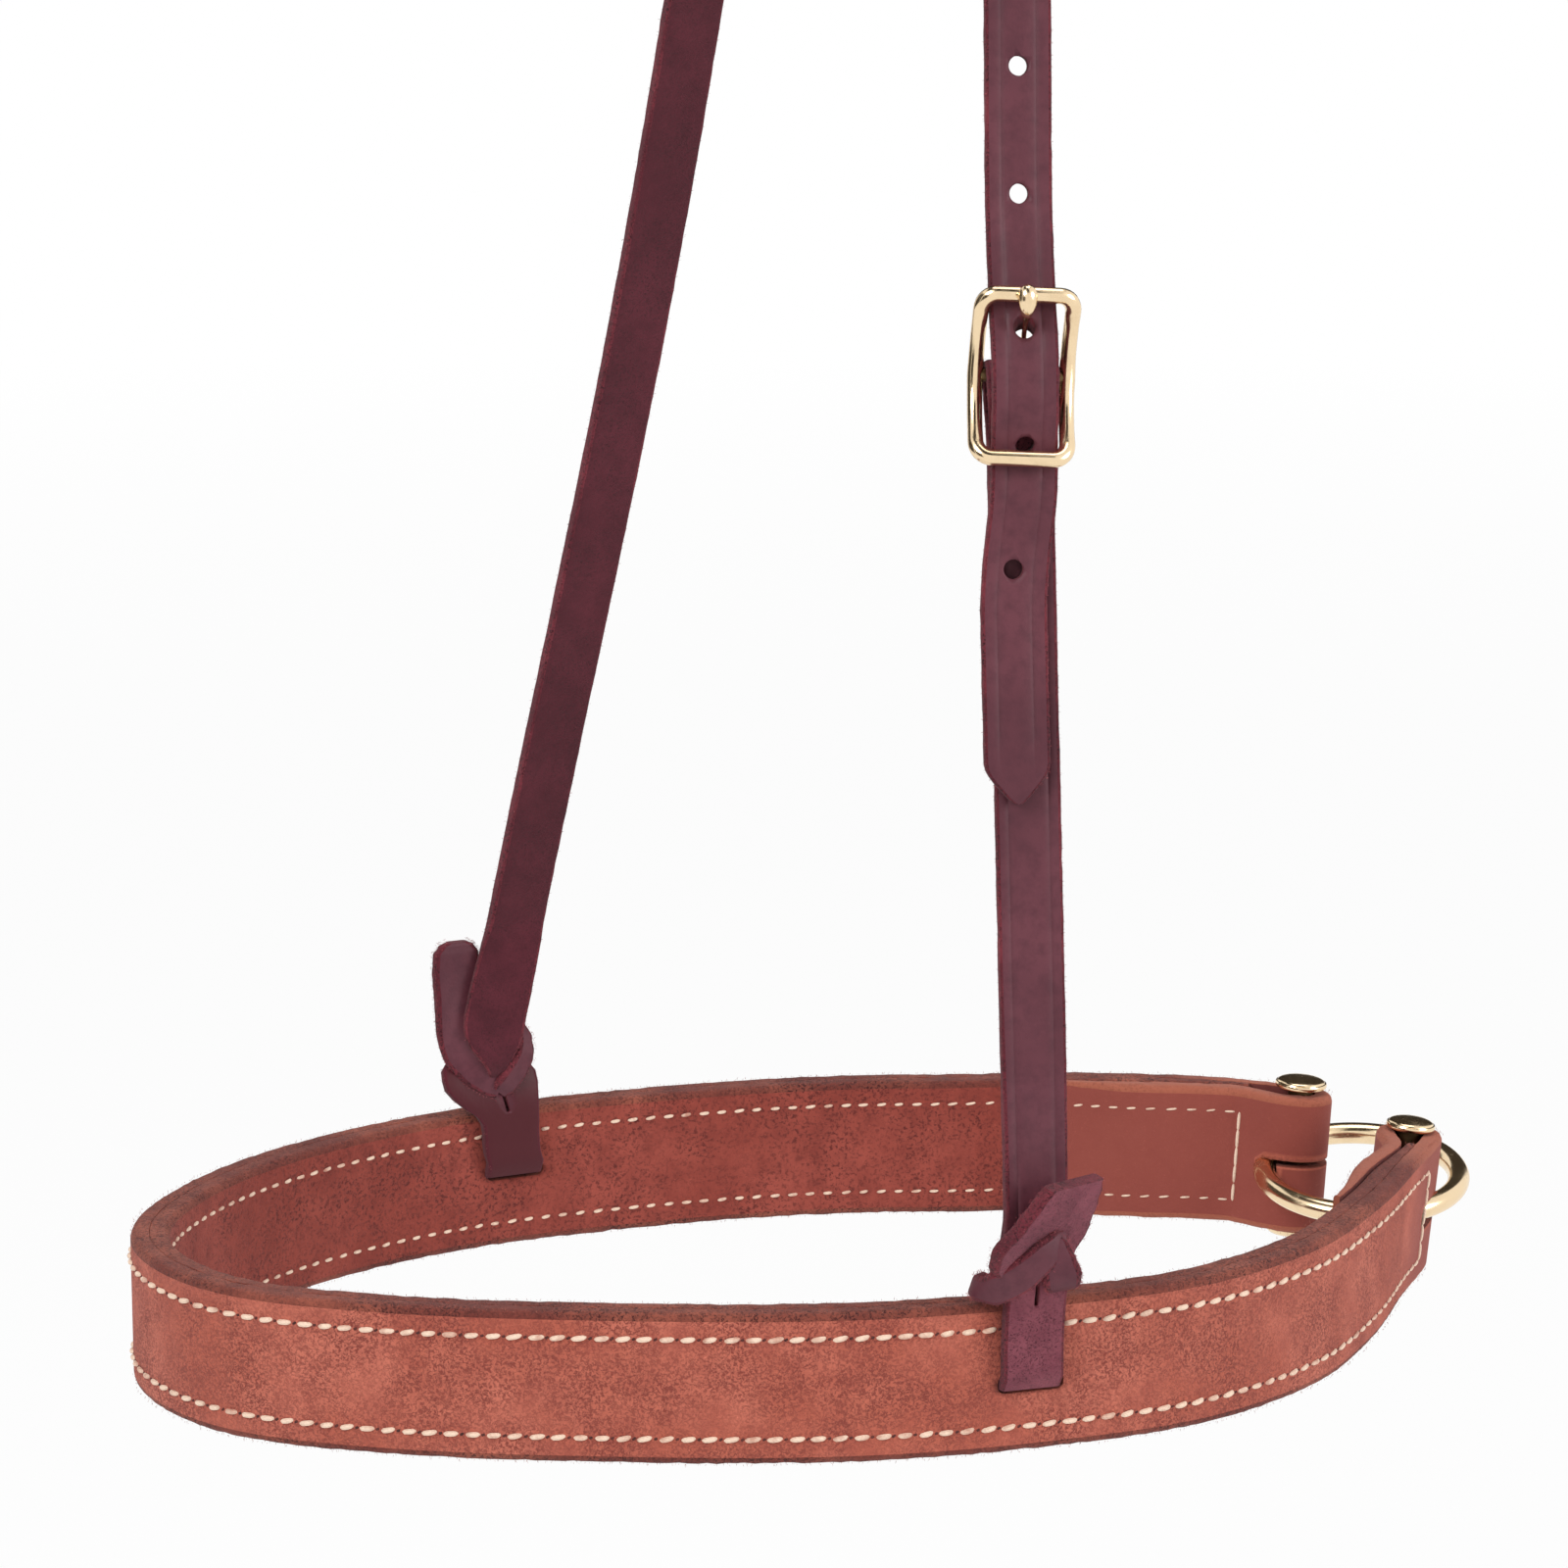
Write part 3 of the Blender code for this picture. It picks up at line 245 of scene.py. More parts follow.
class MeshMaker:
    """Collects the vertices, faces and materials of one piece, in millimetres."""

    def __init__(self, name: str) -> None:
        """Start an empty piece.

        Args:
            name: name of the piece.
        """
        self.name = name
        self.work = bmesh.new()
        self.lay = self.work.loops.layers.uv.new("lay")
        self.slick = self.work.verts.layers.float.new("slick")
        self.warp: Warp = Vector

    @classmethod
    def reopen(cls, made: Object) -> "MeshMaker":
        """Take a finished piece up again, to add to it.

        Args:
            made: the piece.

        Returns:
            A maker that holds its mesh.
        """
        maker = cls(made.name)
        maker.work.free()
        maker.work = bmesh.new()
        maker.work.from_mesh(made.data)
        maker.lay = maker.work.loops.layers.uv.get("lay")
        maker.slick = maker.work.verts.layers.float.get("slick")
        return maker

    def put_back(self, made: Object) -> None:
        """Write what was added into the piece that was taken up."""
        self.work.to_mesh(made.data)
        self.work.free()

    def ring(self, points: Iterable[Vector], slick: float = 0.0) -> list[BMVert]:
        """Add one row of vertices and return it.

        Args:
            points: the places in the row.
            slick: how smooth it is rubbed there, and on the straps how much painted shade it
                takes.

        Returns:
            The row.
        """
        made = []
        for point in points:
            vertex = self.work.verts.new(place(self.warp(point)))
            vertex[self.slick] = slick
            made.append(vertex)
        return made

    def face(self, corners: Sequence[BMVert], slot: int,
             lay: Sequence[tuple[float, float]] | None = None) -> None:
        """Add one face with its material slot and its place along the leather.

        Args:
            corners: its vertices in order.
            slot: its material slot.
            lay: (along, around) at each corner.
        """
        made = self.work.faces.new(corners)
        made.material_index = slot
        made.smooth = True
        if lay:
            for loop, (u, v) in zip(made.loops, lay):
                loop[self.lay].uv = (u * MM, v * MM)

    def skin(self, rings: Sequence[Sequence[BMVert]], slots: Sequence[int],
             along: Sequence[float], around: Sequence[float], caps: int | None = None) -> None:
        """Join rows of vertices into a closed skin.

        Args:
            rings: the rows, each running round the section.
            slots: material slot of each strip between two neighbours of a row.
            along: distance along the piece at each row.
            around: distance round the section at each vertex, one more than a row holds.
            caps: material slot of the two ends, or None to leave them open.
        """
        count = len(rings[0])
        for index in range(len(rings) - 1):
            lower, upper = rings[index], rings[index + 1]
            for side in range(count):
                after = (side + 1) % count
                self.face((lower[side], lower[after], upper[after], upper[side]), slots[side],
                          ((along[index], around[side]), (along[index], around[side + 1]),
                           (along[index + 1], around[side + 1]),
                           (along[index + 1], around[side])))
        if caps is not None:
            self.face(rings[0][::-1], caps)
            self.face(rings[-1], caps)

    def tube(self, path: Sequence[Vector], radii: Sequence[float], slot: int = 0,
             sides: int = 8, closed: bool = False, flat: float = 1.0) -> None:
        """Add a round tube along a path.

        Args:
            path: middle of the tube.
            radii: radius at each point.
            slot: material slot.
            sides: how many sides the tube has.
            closed: whether the path joins its own start.
            flat: height of the section as a share of its width.
        """
        ways = directions(path)
        if closed:
            count = len(path)
            ways = [(path[(i + 1) % count] - path[i - 1]).normalized() for i in range(count)]
        side_way = ways[0].orthogonal().normalized()
        rings = []
        for point, way, radius in zip(path, ways, radii):
            side_way = (side_way - way * side_way.dot(way)).normalized()
            up_way = way.cross(side_way)
            rings.append(self.ring(circle(point, side_way * radius, up_way * radius * flat,
                                          sides)))
        marks = lengths(path)
        if closed:
            rings.append(rings[0])
            marks.append(marks[-1] + 1.0)
        self.skin(rings, [slot] * sides, marks, range(sides + 1), None if closed else slot)

    def finish(self, materials: Sequence[Material], sharp: float = 42.0) -> Object:
        """Make the object in the scene.

        Args:
            materials: one for each slot.
            sharp: angle in degrees above which an edge is sharp.

        Returns:
            The object.
        """
        bmesh.ops.recalc_face_normals(self.work, faces=self.work.faces)
        mesh = bpy.data.meshes.new(self.name)
        self.work.to_mesh(mesh)
        self.work.free()
        for material in materials:
            mesh.materials.append(material)
        mesh.set_sharp_from_angle(angle=radians(sharp))
        return link(self.name, mesh)


@dataclass(frozen=True)
class StripSection:
    """Cross-section of a flat strip of leather, its grain side up.

    Attributes:
        width: across the strip.
        thick: through the strip.
        corner: radius of the long edges.
        creases: how far from each edge the pressed lines lie, or 0 for none.
        step: greatest spacing of points across.
        under: radius of the edges on the flesh side, or 0 for the same.
    """

    width: float
    thick: float
    corner: float = 0.6
    creases: float = 0.0
    step: float = 1.6
    under: float = 0.0

    def across(self) -> list[float]:
        """Places across the strip, closer together round the creases.

        Returns:
            The places from one edge to the other.
        """
        half = self.width / 2 - self.corner
        marks = {-half, half}
        if self.creases:
            line = self.width / 2 - self.creases
            for sign in (-1.0, 1.0):
                for offset in (-0.55, -0.22, 0.0, 0.22, 0.55):
                    marks.add(sign * line + offset)
        count = max(1, ceil(2 * half / self.step))
        for index in range(1, count):
            mark = mix(-half, half, index / count)
            if all(abs(mark - other) > 0.5 for other in marks):
                marks.add(mark)
        return sorted(marks)

    def points(self, thick: float, width: float, crease: float = 1.0
               ) -> tuple[list[tuple[float, float]], list[Face]]:
        """Points round the section and the side that each following strip is on.

        Args:
            thick: thickness here.
            width: width here.
            crease: how deep the pressed lines are here, 0 to 1.

        Returns:
            The (across, up) points, and one Face for each.
        """
        half, rise = width / 2, thick / 2
        most = min(rise, half) * 0.9
        upper, lower = min(self.corner, most), min(self.under or self.corner, most)
        full = self.width / 2 - self.corner
        line = self.width / 2 - self.creases
        found = []
        for mark in self.across():
            dip = 0.0
            if self.creases:
                dip = 0.26 * crease * exp(-((abs(mark) - line) / 0.3) ** 2)
            found.append((mark * (half - upper) / full, rise - dip))
        flat = len(found) - 1
        below = [(mark * (half - lower) / full, -rise) for mark in reversed(self.across())]

        def turn(side: float, level: float, radius: float, start: float) -> None:
            """Round one corner, its two ends left out.

            Args:
                side: 1 to the right, -1 to the left.
                level: 1 above, -1 below.
                radius: of the corner.
                start: angle that it starts at, in degrees.
            """
            for index in range(1, CORNER_STEPS):
                angle = radians(start - 90.0 / CORNER_STEPS * index)
                found.append((side * (half - radius) + radius * cos(angle),
                              level * (rise - radius) + radius * sin(angle)))
        turn(1.0, 1.0, upper, 90.0)
        found.extend(((half, rise - upper), (half, lower - rise)))
        turn(1.0, -1.0, lower, 0.0)
        found.extend(below)
        turn(-1.0, -1.0, lower, 270.0)
        found.extend(((-half, lower - rise), (-half, rise - upper)))
        turn(-1.0, 1.0, upper, 180.0)
        edge = [Face.EDGE] * (2 * CORNER_STEPS + 1)
        return found, [Face.GRAIN] * flat + edge + [Face.FLESH] * flat + edge


@dataclass
class StripStation:
    """One place along a strip: its middle, the way its width runs, and its size there."""

    middle: Vector
    across: Vector
    width: float
    thick: float
    slick: float = 0.0
    crease: float = 1.0


def strip_stations(keys: Sequence[tuple], steps: int) -> list[StripStation]:
    """Smooth stations through keys of middle, width direction, width and thickness.

    Args:
        keys: the keys.
        steps: how many stations each span gets.

    Returns:
        The stations.
    """
    middles = smooth_path([key[0] for key in keys], steps)
    found = []
    for index, middle in enumerate(middles):
        low = min(index // steps, len(keys) - 2)
        part = index / steps - low
        across = Vector(keys[low][1]).lerp(Vector(keys[low + 1][1]), part)
        share = ease(part)
        found.append(StripStation(middle, across, mix(keys[low][2], keys[low + 1][2], share),
                                  mix(keys[low][3], keys[low + 1][3], share)))
    return found


def lay_strip(maker: MeshMaker, stations: Sequence[StripStation], section: StripSection,
              wobble: float = 0.12) -> list[Station]:
    """Lay a strip of leather through stations.

    Args:
        maker: where the mesh goes.
        stations: the places along the strip.
        section: its cross-section.
        wobble: how uneven its cut edges are.

    Returns:
        Points along both cut edges with their outward and lengthwise directions.
    """
    ways = directions([station.middle for station in stations])
    marks = lengths([station.middle for station in stations])
    rings, fringe, slots, around = [], [], [], []
    for station, way in zip(stations, ways):
        across = station.across.normalized()
        normal = across.cross(way).normalized()
        outline, sides = section.points(station.thick, station.width, station.crease)
        if not slots:
            slots = [side.value for side in sides]
            around = [0.0]
            for start, end in zip(outline, outline[1:] + outline[:1]):
                around.append(around[-1] + dist(start, end))
        points = []
        for run, rise in outline:
            point = station.middle + across * run + normal * rise
            if abs(run) > station.width / 2 - section.corner * 0.7:
                point = point + across * (noise.noise_vector(point * NOISE_SCALE) * wobble).x
            points.append(point)
        rings.append(maker.ring(points, station.slick))
        fringe += [(station.middle + across * sign * station.width / 2
                    + normal * station.thick * rise, across * sign, way)
                   for sign, rise in FRINGE]
    maker.skin(rings, slots, marks, around, Face.EDGE.value)
    return fringe


def fray(made: Object, fringe: Sequence[Station], seed: int, share: float, reach: float,
         warp: Warp = Vector) -> None:
    """Add loose fibres to the cut edges of a piece that is already cut to shape.

    Args:
        made: the piece.
        fringe: places on its cut edges.
        seed: start of the random draws.
        share: how many fibres each place has.
        reach: length of the longest fibre.
        warp: how the piece is hung.
    """
    maker = MeshMaker.reopen(made)
    maker.warp = warp
    add_fuzz(maker, fringe, seed, share, reach)
    maker.put_back(made)


def add_fuzz(maker: MeshMaker, fringe: Sequence[Station], seed: int, share: float,
             reach: float) -> None:
    """Let loose fibres stand out of the cut edges.

    Args:
        maker: where the fibres go.
        fringe: places on the edges, with their outward and lengthwise directions.
        seed: start of the random draws.
        share: how many fibres each place has on average.
        reach: length of the longest fibre.
    """
    slot = Face.NAP.value
    draw = random.Random(seed)
    for point, out, way in fringe:
        for _ in range(int(share) + (draw.random() < share % 1.0)):
            side = out.cross(way).normalized()
            root = point + way * draw.uniform(-0.6, 0.6) + side * draw.uniform(-0.5, 0.5)
            length = reach * draw.uniform(0.2, 1.0) ** 1.6
            lean = way * draw.uniform(-0.9, 0.9) + side * draw.uniform(-0.6, 0.6)
            tip = root + (out + lean).normalized() * length
            thick = reach * draw.uniform(0.07, 0.13)
            base = [root - out * 0.12 + (way * cos(a) + side * sin(a)) * thick
                    for a in (0.0, 2.1, 4.2)]
            corners = maker.ring(base)
            crown = maker.ring([tip])[0]
            for index in range(3):
                maker.face((corners[index], corners[(index + 1) % 3], crown), slot)
            maker.face(corners[::-1], slot)


def carve(target: Object, cutters: Sequence[Object]) -> None:
    """Cut holes through a piece and leave no modifier on it.

    Args:
        target: the piece.
        cutters: the shapes of the holes, used up here.
    """
    for cutter in cutters:
        change = target.modifiers.new("cut", "BOOLEAN")
        change.operation = "DIFFERENCE"
        change.solver = "EXACT"
        change.object = cutter
    bpy.context.view_layer.update()
    graph = bpy.context.evaluated_depsgraph_get()
    mesh = bpy.data.meshes.new_from_object(target.evaluated_get(graph))
    target.modifiers.clear()
    target.data = mesh
    for cutter in cutters:
        bpy.data.objects.remove(cutter, do_unlink=True)


def block(name: str, ends: Sequence[Iterable[Vector]], material: Material) -> Object:
    """A closed block between two matching outlines, for cutting.

    Args:
        name: name of the block.
        ends: its two outlines.
        material: what its walls are made of.

    Returns:
        The block.
    """
    maker = MeshMaker(name)
    rings = [maker.ring(points) for points in ends]
    count = len(rings[0])
    maker.skin(rings, [0] * count, (0.0, 1.0), range(count + 1), 0)
    return maker.finish([material])


def rounded_cutter(name: str, size: Sequence[float], corner: float, matrix: Matrix,
                   material: Material) -> Object:
    """A block with rounded upright corners in its local XZ outline, for cutting slots.

    Args:
        name: name of the block.
        size: its sizes in X, Y and Z.
        corner: radius of the corners.
        matrix: where it goes.
        material: what its walls are made of.

    Returns:
        The block.
    """
    wide, deep, high = Vector(size)
    outline = []
    for index, (x, z) in enumerate(((1, 1), (-1, 1), (-1, -1), (1, -1))):
        for step in range(5):
            angle = pi / 2 * (index + step / 4)
            outline.append((x * (wide / 2 - corner) + corner * cos(angle),
                            z * (high / 2 - corner) + corner * sin(angle)))
    return block(name, [[matrix @ Vector((x, y, z)) for x, z in outline]
                        for y in (-deep / 2, deep / 2)], material)


def punch(radius: float, start: Vector, end: Vector, material: Material, stretch: float,
          along: Vector) -> Object:
    """A round punch between two points, drawn long one way.

    Args:
        radius: of the punch.
        start: one end of its axis.
        end: the other end.
        material: what the wall of the hole is made of.
        stretch: how much longer the hole is than it is wide.
        along: the way it is drawn long.

    Returns:
        The punch.
    """
    axis = (end - start).normalized()
    first = (along - axis * along.dot(axis)).normalized()
    second = axis.cross(first)
    return block("hole_punch", [circle(point, first * radius * stretch, second * radius,
                                       PUNCH_SIDES) for point in (start, end)], material)


# Finishes


class NodeDesk:
    """Adds nodes to a tree and joins them."""

    def __init__(self, tree: NodeTree) -> None:
        """Work on one node tree."""
        self.tree = tree

    def fill(self, node: Node, values: dict[str | int, Given]) -> Node:
        """Give a node's inputs numbers, colours or outputs to join, by name or number.

        Args:
            node: the node.
            values: what its inputs are given.

        Returns:
            The node.
        """
        for name, value in values.items():
            socket = node.inputs[name]
            if isinstance(value, NodeSocket):
                self.tree.links.new(value, socket)
            else:
                socket.default_value = (*value, 1.0) if socket.type == "RGBA" else value
        return node

    def add(self, kind: str, values: dict[str | int, Given] | None = None,
            **settings: str | NodeTree) -> Node:
        """Add a node.

        Args:
            kind: the node's type name, without "ShaderNode".
            values: what its inputs are given.
            **settings: attributes of the node itself.

        Returns:
            The node.
        """
        made = self.tree.nodes.new(f"ShaderNode{kind}")
        for name, value in settings.items():
            setattr(made, name, value)
        return self.fill(made, values or {})

    def noise(self, vector: NodeSocket, scale: Given, detail: float = 3.0,
              rough: float = 0.55) -> NodeSocket:
        """A noise value."""
        return self.add("TexNoise", {"Vector": vector, "Scale": scale, "Detail": detail,
                                     "Roughness": rough}).outputs["Fac"]

    def span(self, value: NodeSocket, low: float, high: float, to_low: float = 0.0,
             to_high: float = 1.0) -> NodeSocket:
        """Stretch a value from one span to another, held at its ends."""
        return self.add("MapRange", {"Value": value, "From Min": low, "From Max": high,
                                     "To Min": to_low, "To Max": to_high}).outputs["Result"]

    def blend(self, share: NodeSocket, first: Given, second: Given) -> NodeSocket:
        """Mix two colours."""
        return self.add("Mix", {0: share, 6: first, 7: second}, data_type="RGBA").outputs[2]

    def maths(self, kind: str, first: Given, second: Given = 0.0) -> NodeSocket:
        """Arithmetic on two values."""
        return self.add("Math", {0: first, 1: second}, operation=kind).outputs[0]

    def plus(self, first: Given, second: Given) -> NodeSocket:
        """One value and another."""
        return self.maths("ADD", first, second)

    def times(self, first: Given, second: Given) -> NodeSocket:
        """One value by another."""
        return self.maths("MULTIPLY", first, second)

    def vector(self, kind: str, first: NodeSocket, second: Given) -> NodeSocket:
        """Arithmetic on two vectors."""
        return self.add("VectorMath", {0: first, 1: second}, operation=kind).outputs[0]


def shader_group(name: str, inputs: Sequence[tuple[str, str, float | None]],
                 outputs: Sequence[tuple[str, str]]) -> tuple:
    """Start a node group.

    Args:
        name: name of the group.
        inputs: name, kind and default of each input.
        outputs: name and kind of each output.

    Returns:
        The group's desk, what it is given, and its output node.
    """
    group = bpy.data.node_groups.new(name, "ShaderNodeTree")
    for label, kind, default in inputs:
        socket = group.interface.new_socket(label, in_out="INPUT",
                                            socket_type=f"NodeSocket{kind}")
        if default is not None:
            socket.default_value = default
    for label, kind in outputs:
        group.interface.new_socket(label, in_out="OUTPUT", socket_type=f"NodeSocket{kind}")
    return NodeDesk(group), group.nodes.new("NodeGroupInput").outputs, group.nodes.new(
        "NodeGroupOutput")


def nap_group() -> NodeTree:
    """Brushed flesh side: fibres and the pits between them, with masks that paint a highlight on
    the raised fibres and shade in the sunken pits.

    Returns:
        The group.
    """
    desk, given, end = shader_group(
        "brushed_nap",
        (("Vector", "Vector", None), ("Scale", "Float", 900.0), ("Cover", "Float", 0.5)),
        (("Pits", "Float"), ("Fibres", "Float"), ("Height", "Float")))
    vector = given["Vector"]
    warp = desk.add("TexNoise", {"Vector": vector, "Scale": given["Scale"], "Detail": 2.0})
    bent = desk.vector("MULTIPLY", warp.outputs["Color"], (0.0011, 0.0011, 0.0011))
    moved = desk.vector("ADD", vector, bent)
    coarse = desk.noise(moved, given["Scale"], 4.0, 0.62)
    fine = desk.noise(moved, 4200.0, 2.0, 0.6)
    both = desk.plus(desk.times(coarse, 0.74), desk.times(fine, 0.26))
    low = desk.plus(desk.times(given["Cover"], 0.2), 0.385)
    patch = desk.span(desk.noise(vector, 95.0), 0.36, 0.6, 0.35, 1.0)
    pits = desk.times(desk.span(desk.maths("SUBTRACT", both, low), 0.01, -0.05), patch)
    ridge = desk.maths("ABSOLUTE", desk.plus(desk.noise(moved, 1300.0, 1.0), -0.5))
    broken = desk.span(desk.noise(vector, 900.0, 1.0), 0.48, 0.62)
    fibres = desk.times(desk.span(ridge, 0.014, 0.0), broken)
    desk.fill(end, {"Pits": pits, "Fibres": fibres,
                    "Height": desk.plus(both, desk.times(fibres, 0.12))})
    return desk.tree


def tint_group() -> NodeTree:
    """Uneven dye: broad clouds and small blotches between three colours.

    Returns:
        The group.
    """
    desk, given, end = shader_group(
        "uneven_dye",
        (("Vector", "Vector", None), ("Base", "Color", None), ("Light", "Color", None),
         ("Dark", "Color", None), ("Blotch", "Float", 220.0)),
        (("Color", "Color"),))
    cloud = desk.span(desk.noise(given["Vector"], 42.0), 0.4, 0.64)
    blotch = desk.span(desk.noise(given["Vector"], given["Blotch"], 4.0, 0.6), 0.42, 0.68)
    lighter = desk.blend(cloud, given["Base"], given["Light"])
    desk.fill(end, {"Color": desk.blend(desk.times(blotch, 0.55), lighter, given["Dark"])})
    return desk.tree


def grain_group() -> NodeTree:
    """Smooth grain side: fine pebbling and faint wrinkles.

    Returns:
        The group.
    """
    desk, given, end = shader_group(
        "smooth_grain", (("Vector", "Vector", None), ("Scale", "Float", 1500.0)),
        (("Height", "Float"), ("Wear", "Float")))
    vector = given["Vector"]
    cells = desk.add("TexVoronoi", {"Vector": vector, "Scale": given["Scale"]},
                     feature="SMOOTH_F1")
    fine = desk.times(desk.noise(vector, 2600.0, 2.0), 0.35)
    height = desk.plus(desk.times(cells.outputs["Distance"], 0.5),
                       desk.plus(fine, desk.noise(vector, 160.0)))
    desk.fill(end, {"Height": height,
                    "Wear": desk.span(desk.noise(vector, 60.0, 4.0), 0.45, 0.75)})
    return desk.tree


class GroupShelf:
    """Builds each shared node group once."""

    _made: dict[str, NodeTree] = {}

    @classmethod
    def get(cls, maker: Callable[[], NodeTree]) -> NodeTree:
        """The group that a function builds, built on its first use.

        Args:
            maker: the function.

        Returns:
            The group.
        """
        if maker.__name__ not in cls._made:
            cls._made[maker.__name__] = maker()
        return cls._made[maker.__name__]


class MaterialDesk(NodeDesk):
    """The desk of one material, with its Principled shader."""

    def __init__(self, name: str) -> None:
        """Start a material.

        Args:
            name: name of the material.
        """
        self.material = bpy.data.materials.new(name)
        self.material.use_nodes = True
        super().__init__(self.material.node_tree)

    def where(self) -> NodeSocket:
        """The object's own coordinates."""
        return self.add("TexCoord").outputs["Object"]

    def group(self, maker: Callable[[], NodeTree], values: dict[str, Given]
              ) -> bpy.types.NodeOutputs:
        """Place a shared group and return what it puts out."""
        return self.add("Group", values, node_tree=GroupShelf.get(maker)).outputs

    def bump(self, height: NodeSocket, strength: float, depth: float) -> NodeSocket:
        """A normal from a height, its depth in millimetres."""
        return self.add("Bump", {"Height": height, "Strength": strength,
                                 "Distance": depth * MM}).outputs["Normal"]

    def dress(self, values: dict[str, Given]) -> Material:
        """Give the Principled shader its inputs and return the material."""
        self.fill(self.tree.nodes["Principled BSDF"], values)
        return self.material


@dataclass(frozen=True)
class Leather:
    """What every leather has.

    Attributes:
        name: name of the material.
        base: main colour.
        light: colour of the paler clouds.
        dark: colour of the blotches.
        wear_and_shade_colour: colour where the leather is rubbed smooth; on the straps' grain and
            cut edge a darker colour, painted shade where the far strap runs through its slot and
            loops in front.
    """

    name: str
    base: Colour
    light: Colour
    dark: Colour
    wear_and_shade_colour: Colour

    def dyed(self, desk: MaterialDesk, where: NodeSocket, blotch: float = 220.0
             ) -> tuple[NodeSocket, NodeSocket]:
        """The uneven dye, and the mask of where the leather is rubbed smooth, which on the straps
        also places painted shade.
        """
        dye = desk.group(tint_group, {"Vector": where, "Base": self.base, "Light": self.light,
                                      "Dark": self.dark, "Blotch": blotch})
        return dye["Color"], desk.add("Attribute", attribute_name="slick").outputs["Fac"]


@dataclass(frozen=True)
class NapLeather(Leather):
    """Leather with its flesh side out, brushed or cut: pitted, dry and matt.

    Attributes:
        pit_shade: darker colour in the sunken pits, painted shade.
        cover: how much of the surface the pits take up, 0 to 1.
        scale: fineness of the pits.
        rough: roughness.
        depth: height of the nap in millimetres.
    """

    pit_shade: Colour
    cover: float = 0.5
    scale: float = 900.0
    rough: float = 0.86
    depth: float = 0.35

    def material(self) -> Material:
        """Build the material.

        Returns:
            The material.
        """
        desk = MaterialDesk(self.name)
        where = desk.where()
        nap = desk.group(nap_group, {"Vector": where, "Scale": self.scale, "Cover": self.cover})
        dye, slick = self.dyed(desk, where)
        keep = desk.span(slick, 0.2, 1.0, 1.0, 0.25)
        pits = desk.times(nap["Pits"], keep)
        fibres = desk.times(nap["Fibres"], desk.times(keep, 0.6))
        ground = desk.blend(desk.span(slick, 0.5, 1.0, 0.0, 0.9), dye, self.wear_and_shade_colour)
        # Fibres are painted lighter than the ground: painted highlight on the raised fibres.
        lit = desk.blend(fibres, ground, tuple(min(1.0, 1.5 * part) for part in self.light))
        height = desk.maths("SUBTRACT", nap["Height"], desk.times(pits, 0.25))
        # The pits take the darker colour: painted shade in the hollows.
        return desk.dress({"Base Color": desk.blend(pits, lit, self.pit_shade),
                           "Normal": desk.bump(desk.times(height, keep), 0.8, self.depth),
                           "Roughness": self.rough, "Specular IOR Level": 0.14,
                           "Sheen Weight": 0.08, "Sheen Roughness": 0.6})


@dataclass(frozen=True)
class GrainLeather(Leather):
    """Smooth strap leather: oiled, finely grained, a soft shine.

    Attributes:
        rough: roughness where it is least worn.
    """

    rough: float = 0.5

    def material(self) -> Material:
        """Build the material.

        Returns:
            The material.
        """
        desk = MaterialDesk(self.name)
        where = desk.where()
        grain = desk.group(grain_group, {"Vector": where})
        dye, slick = self.dyed(desk, where, 420.0)
        # Where the mask is 1 the grain turns to its darker fourth colour: painted shade on the far
        # strap's loop and where it runs through the slot.
        return desk.dress({
            "Base Color": desk.blend(slick, dye, self.wear_and_shade_colour),
            "Roughness": desk.span(grain["Wear"], 0.0, 1.0, self.rough, self.rough + 0.14),
            "Normal": desk.bump(grain["Height"], 0.35, 0.12), "Specular IOR Level": 0.3})


@dataclass(frozen=True)
class CastBrass:
    """Polished brass with handling marks.

    Attributes:
        name: name of the material.
        base: colour of clean metal.
        dull: colour of the tarnish.
        rough: roughness of the polish.
    """

    name: str
    base: Colour = (0.90, 0.70, 0.45)
    dull: Colour = (0.56, 0.37, 0.20)
    rough: float = 0.15

    def material(self) -> Material:
        """Build the material.

        Returns:
            The material.
        """
        desk = MaterialDesk(self.name)
        where = desk.where()
        cloud = desk.span(desk.noise(where, 260.0, 4.0, 0.6), 0.5, 0.78)
        scratch = desk.noise(where, 1900.0, 2.0, 0.7)
        rough = desk.plus(desk.span(cloud, 0.0, 1.0, self.rough, self.rough + 0.16),
                          desk.span(scratch, 0.45, 0.75, 0.0, 0.07))
        return desk.dress({"Base Color": desk.blend(desk.times(cloud, 0.25), self.base, self.dull),
                           "Roughness": rough, "Normal": desk.bump(scratch, 0.06, 0.03),
                           "Metallic": 1.0})


@dataclass(frozen=True)
class WaxedThread:
    """Waxed linen thread, laid in strands.

    Attributes:
        base: colour of clean thread.
        soiled: colour where dye has rubbed on to it.
    """

    base: Colour = (0.80, 0.60, 0.46)
    soiled: Colour = (0.50, 0.24, 0.17)

    def material(self) -> Material:
        """Build the material.

        Returns:
            The material.
        """
        desk = MaterialDesk("waxed_thread")
        where = desk.where()
        soil = desk.span(desk.noise(where, 330.0), 0.5, 0.74)
        twist = desk.add("TexWave", {"Vector": where, "Scale": 900.0, "Distortion": 1.5},
                         bands_direction="DIAGONAL")
        return desk.dress({"Base Color": desk.blend(soil, self.base, self.soiled),
                           "Normal": desk.bump(twist.outputs["Fac"], 0.5, 0.08),
                           "Roughness": 0.62})


@dataclass(frozen=True)
class LooseFibre:
    """Loose fibres on a cut edge.

    Attributes:
        name: name of the material.
        base: colour of most fibres.
        tip: colour of the brighter ones.
    """

    name: str
    base: Colour
    tip: Colour

    def material(self) -> Material:
        """Build the material.

        Returns:
            The material.
        """
        desk = MaterialDesk(self.name)
        share = desk.span(desk.noise(desk.where(), 700.0, 2.0), 0.4, 0.65)
        return desk.dress({"Base Color": desk.blend(share, self.base, self.tip),
                           "Roughness": 0.9})


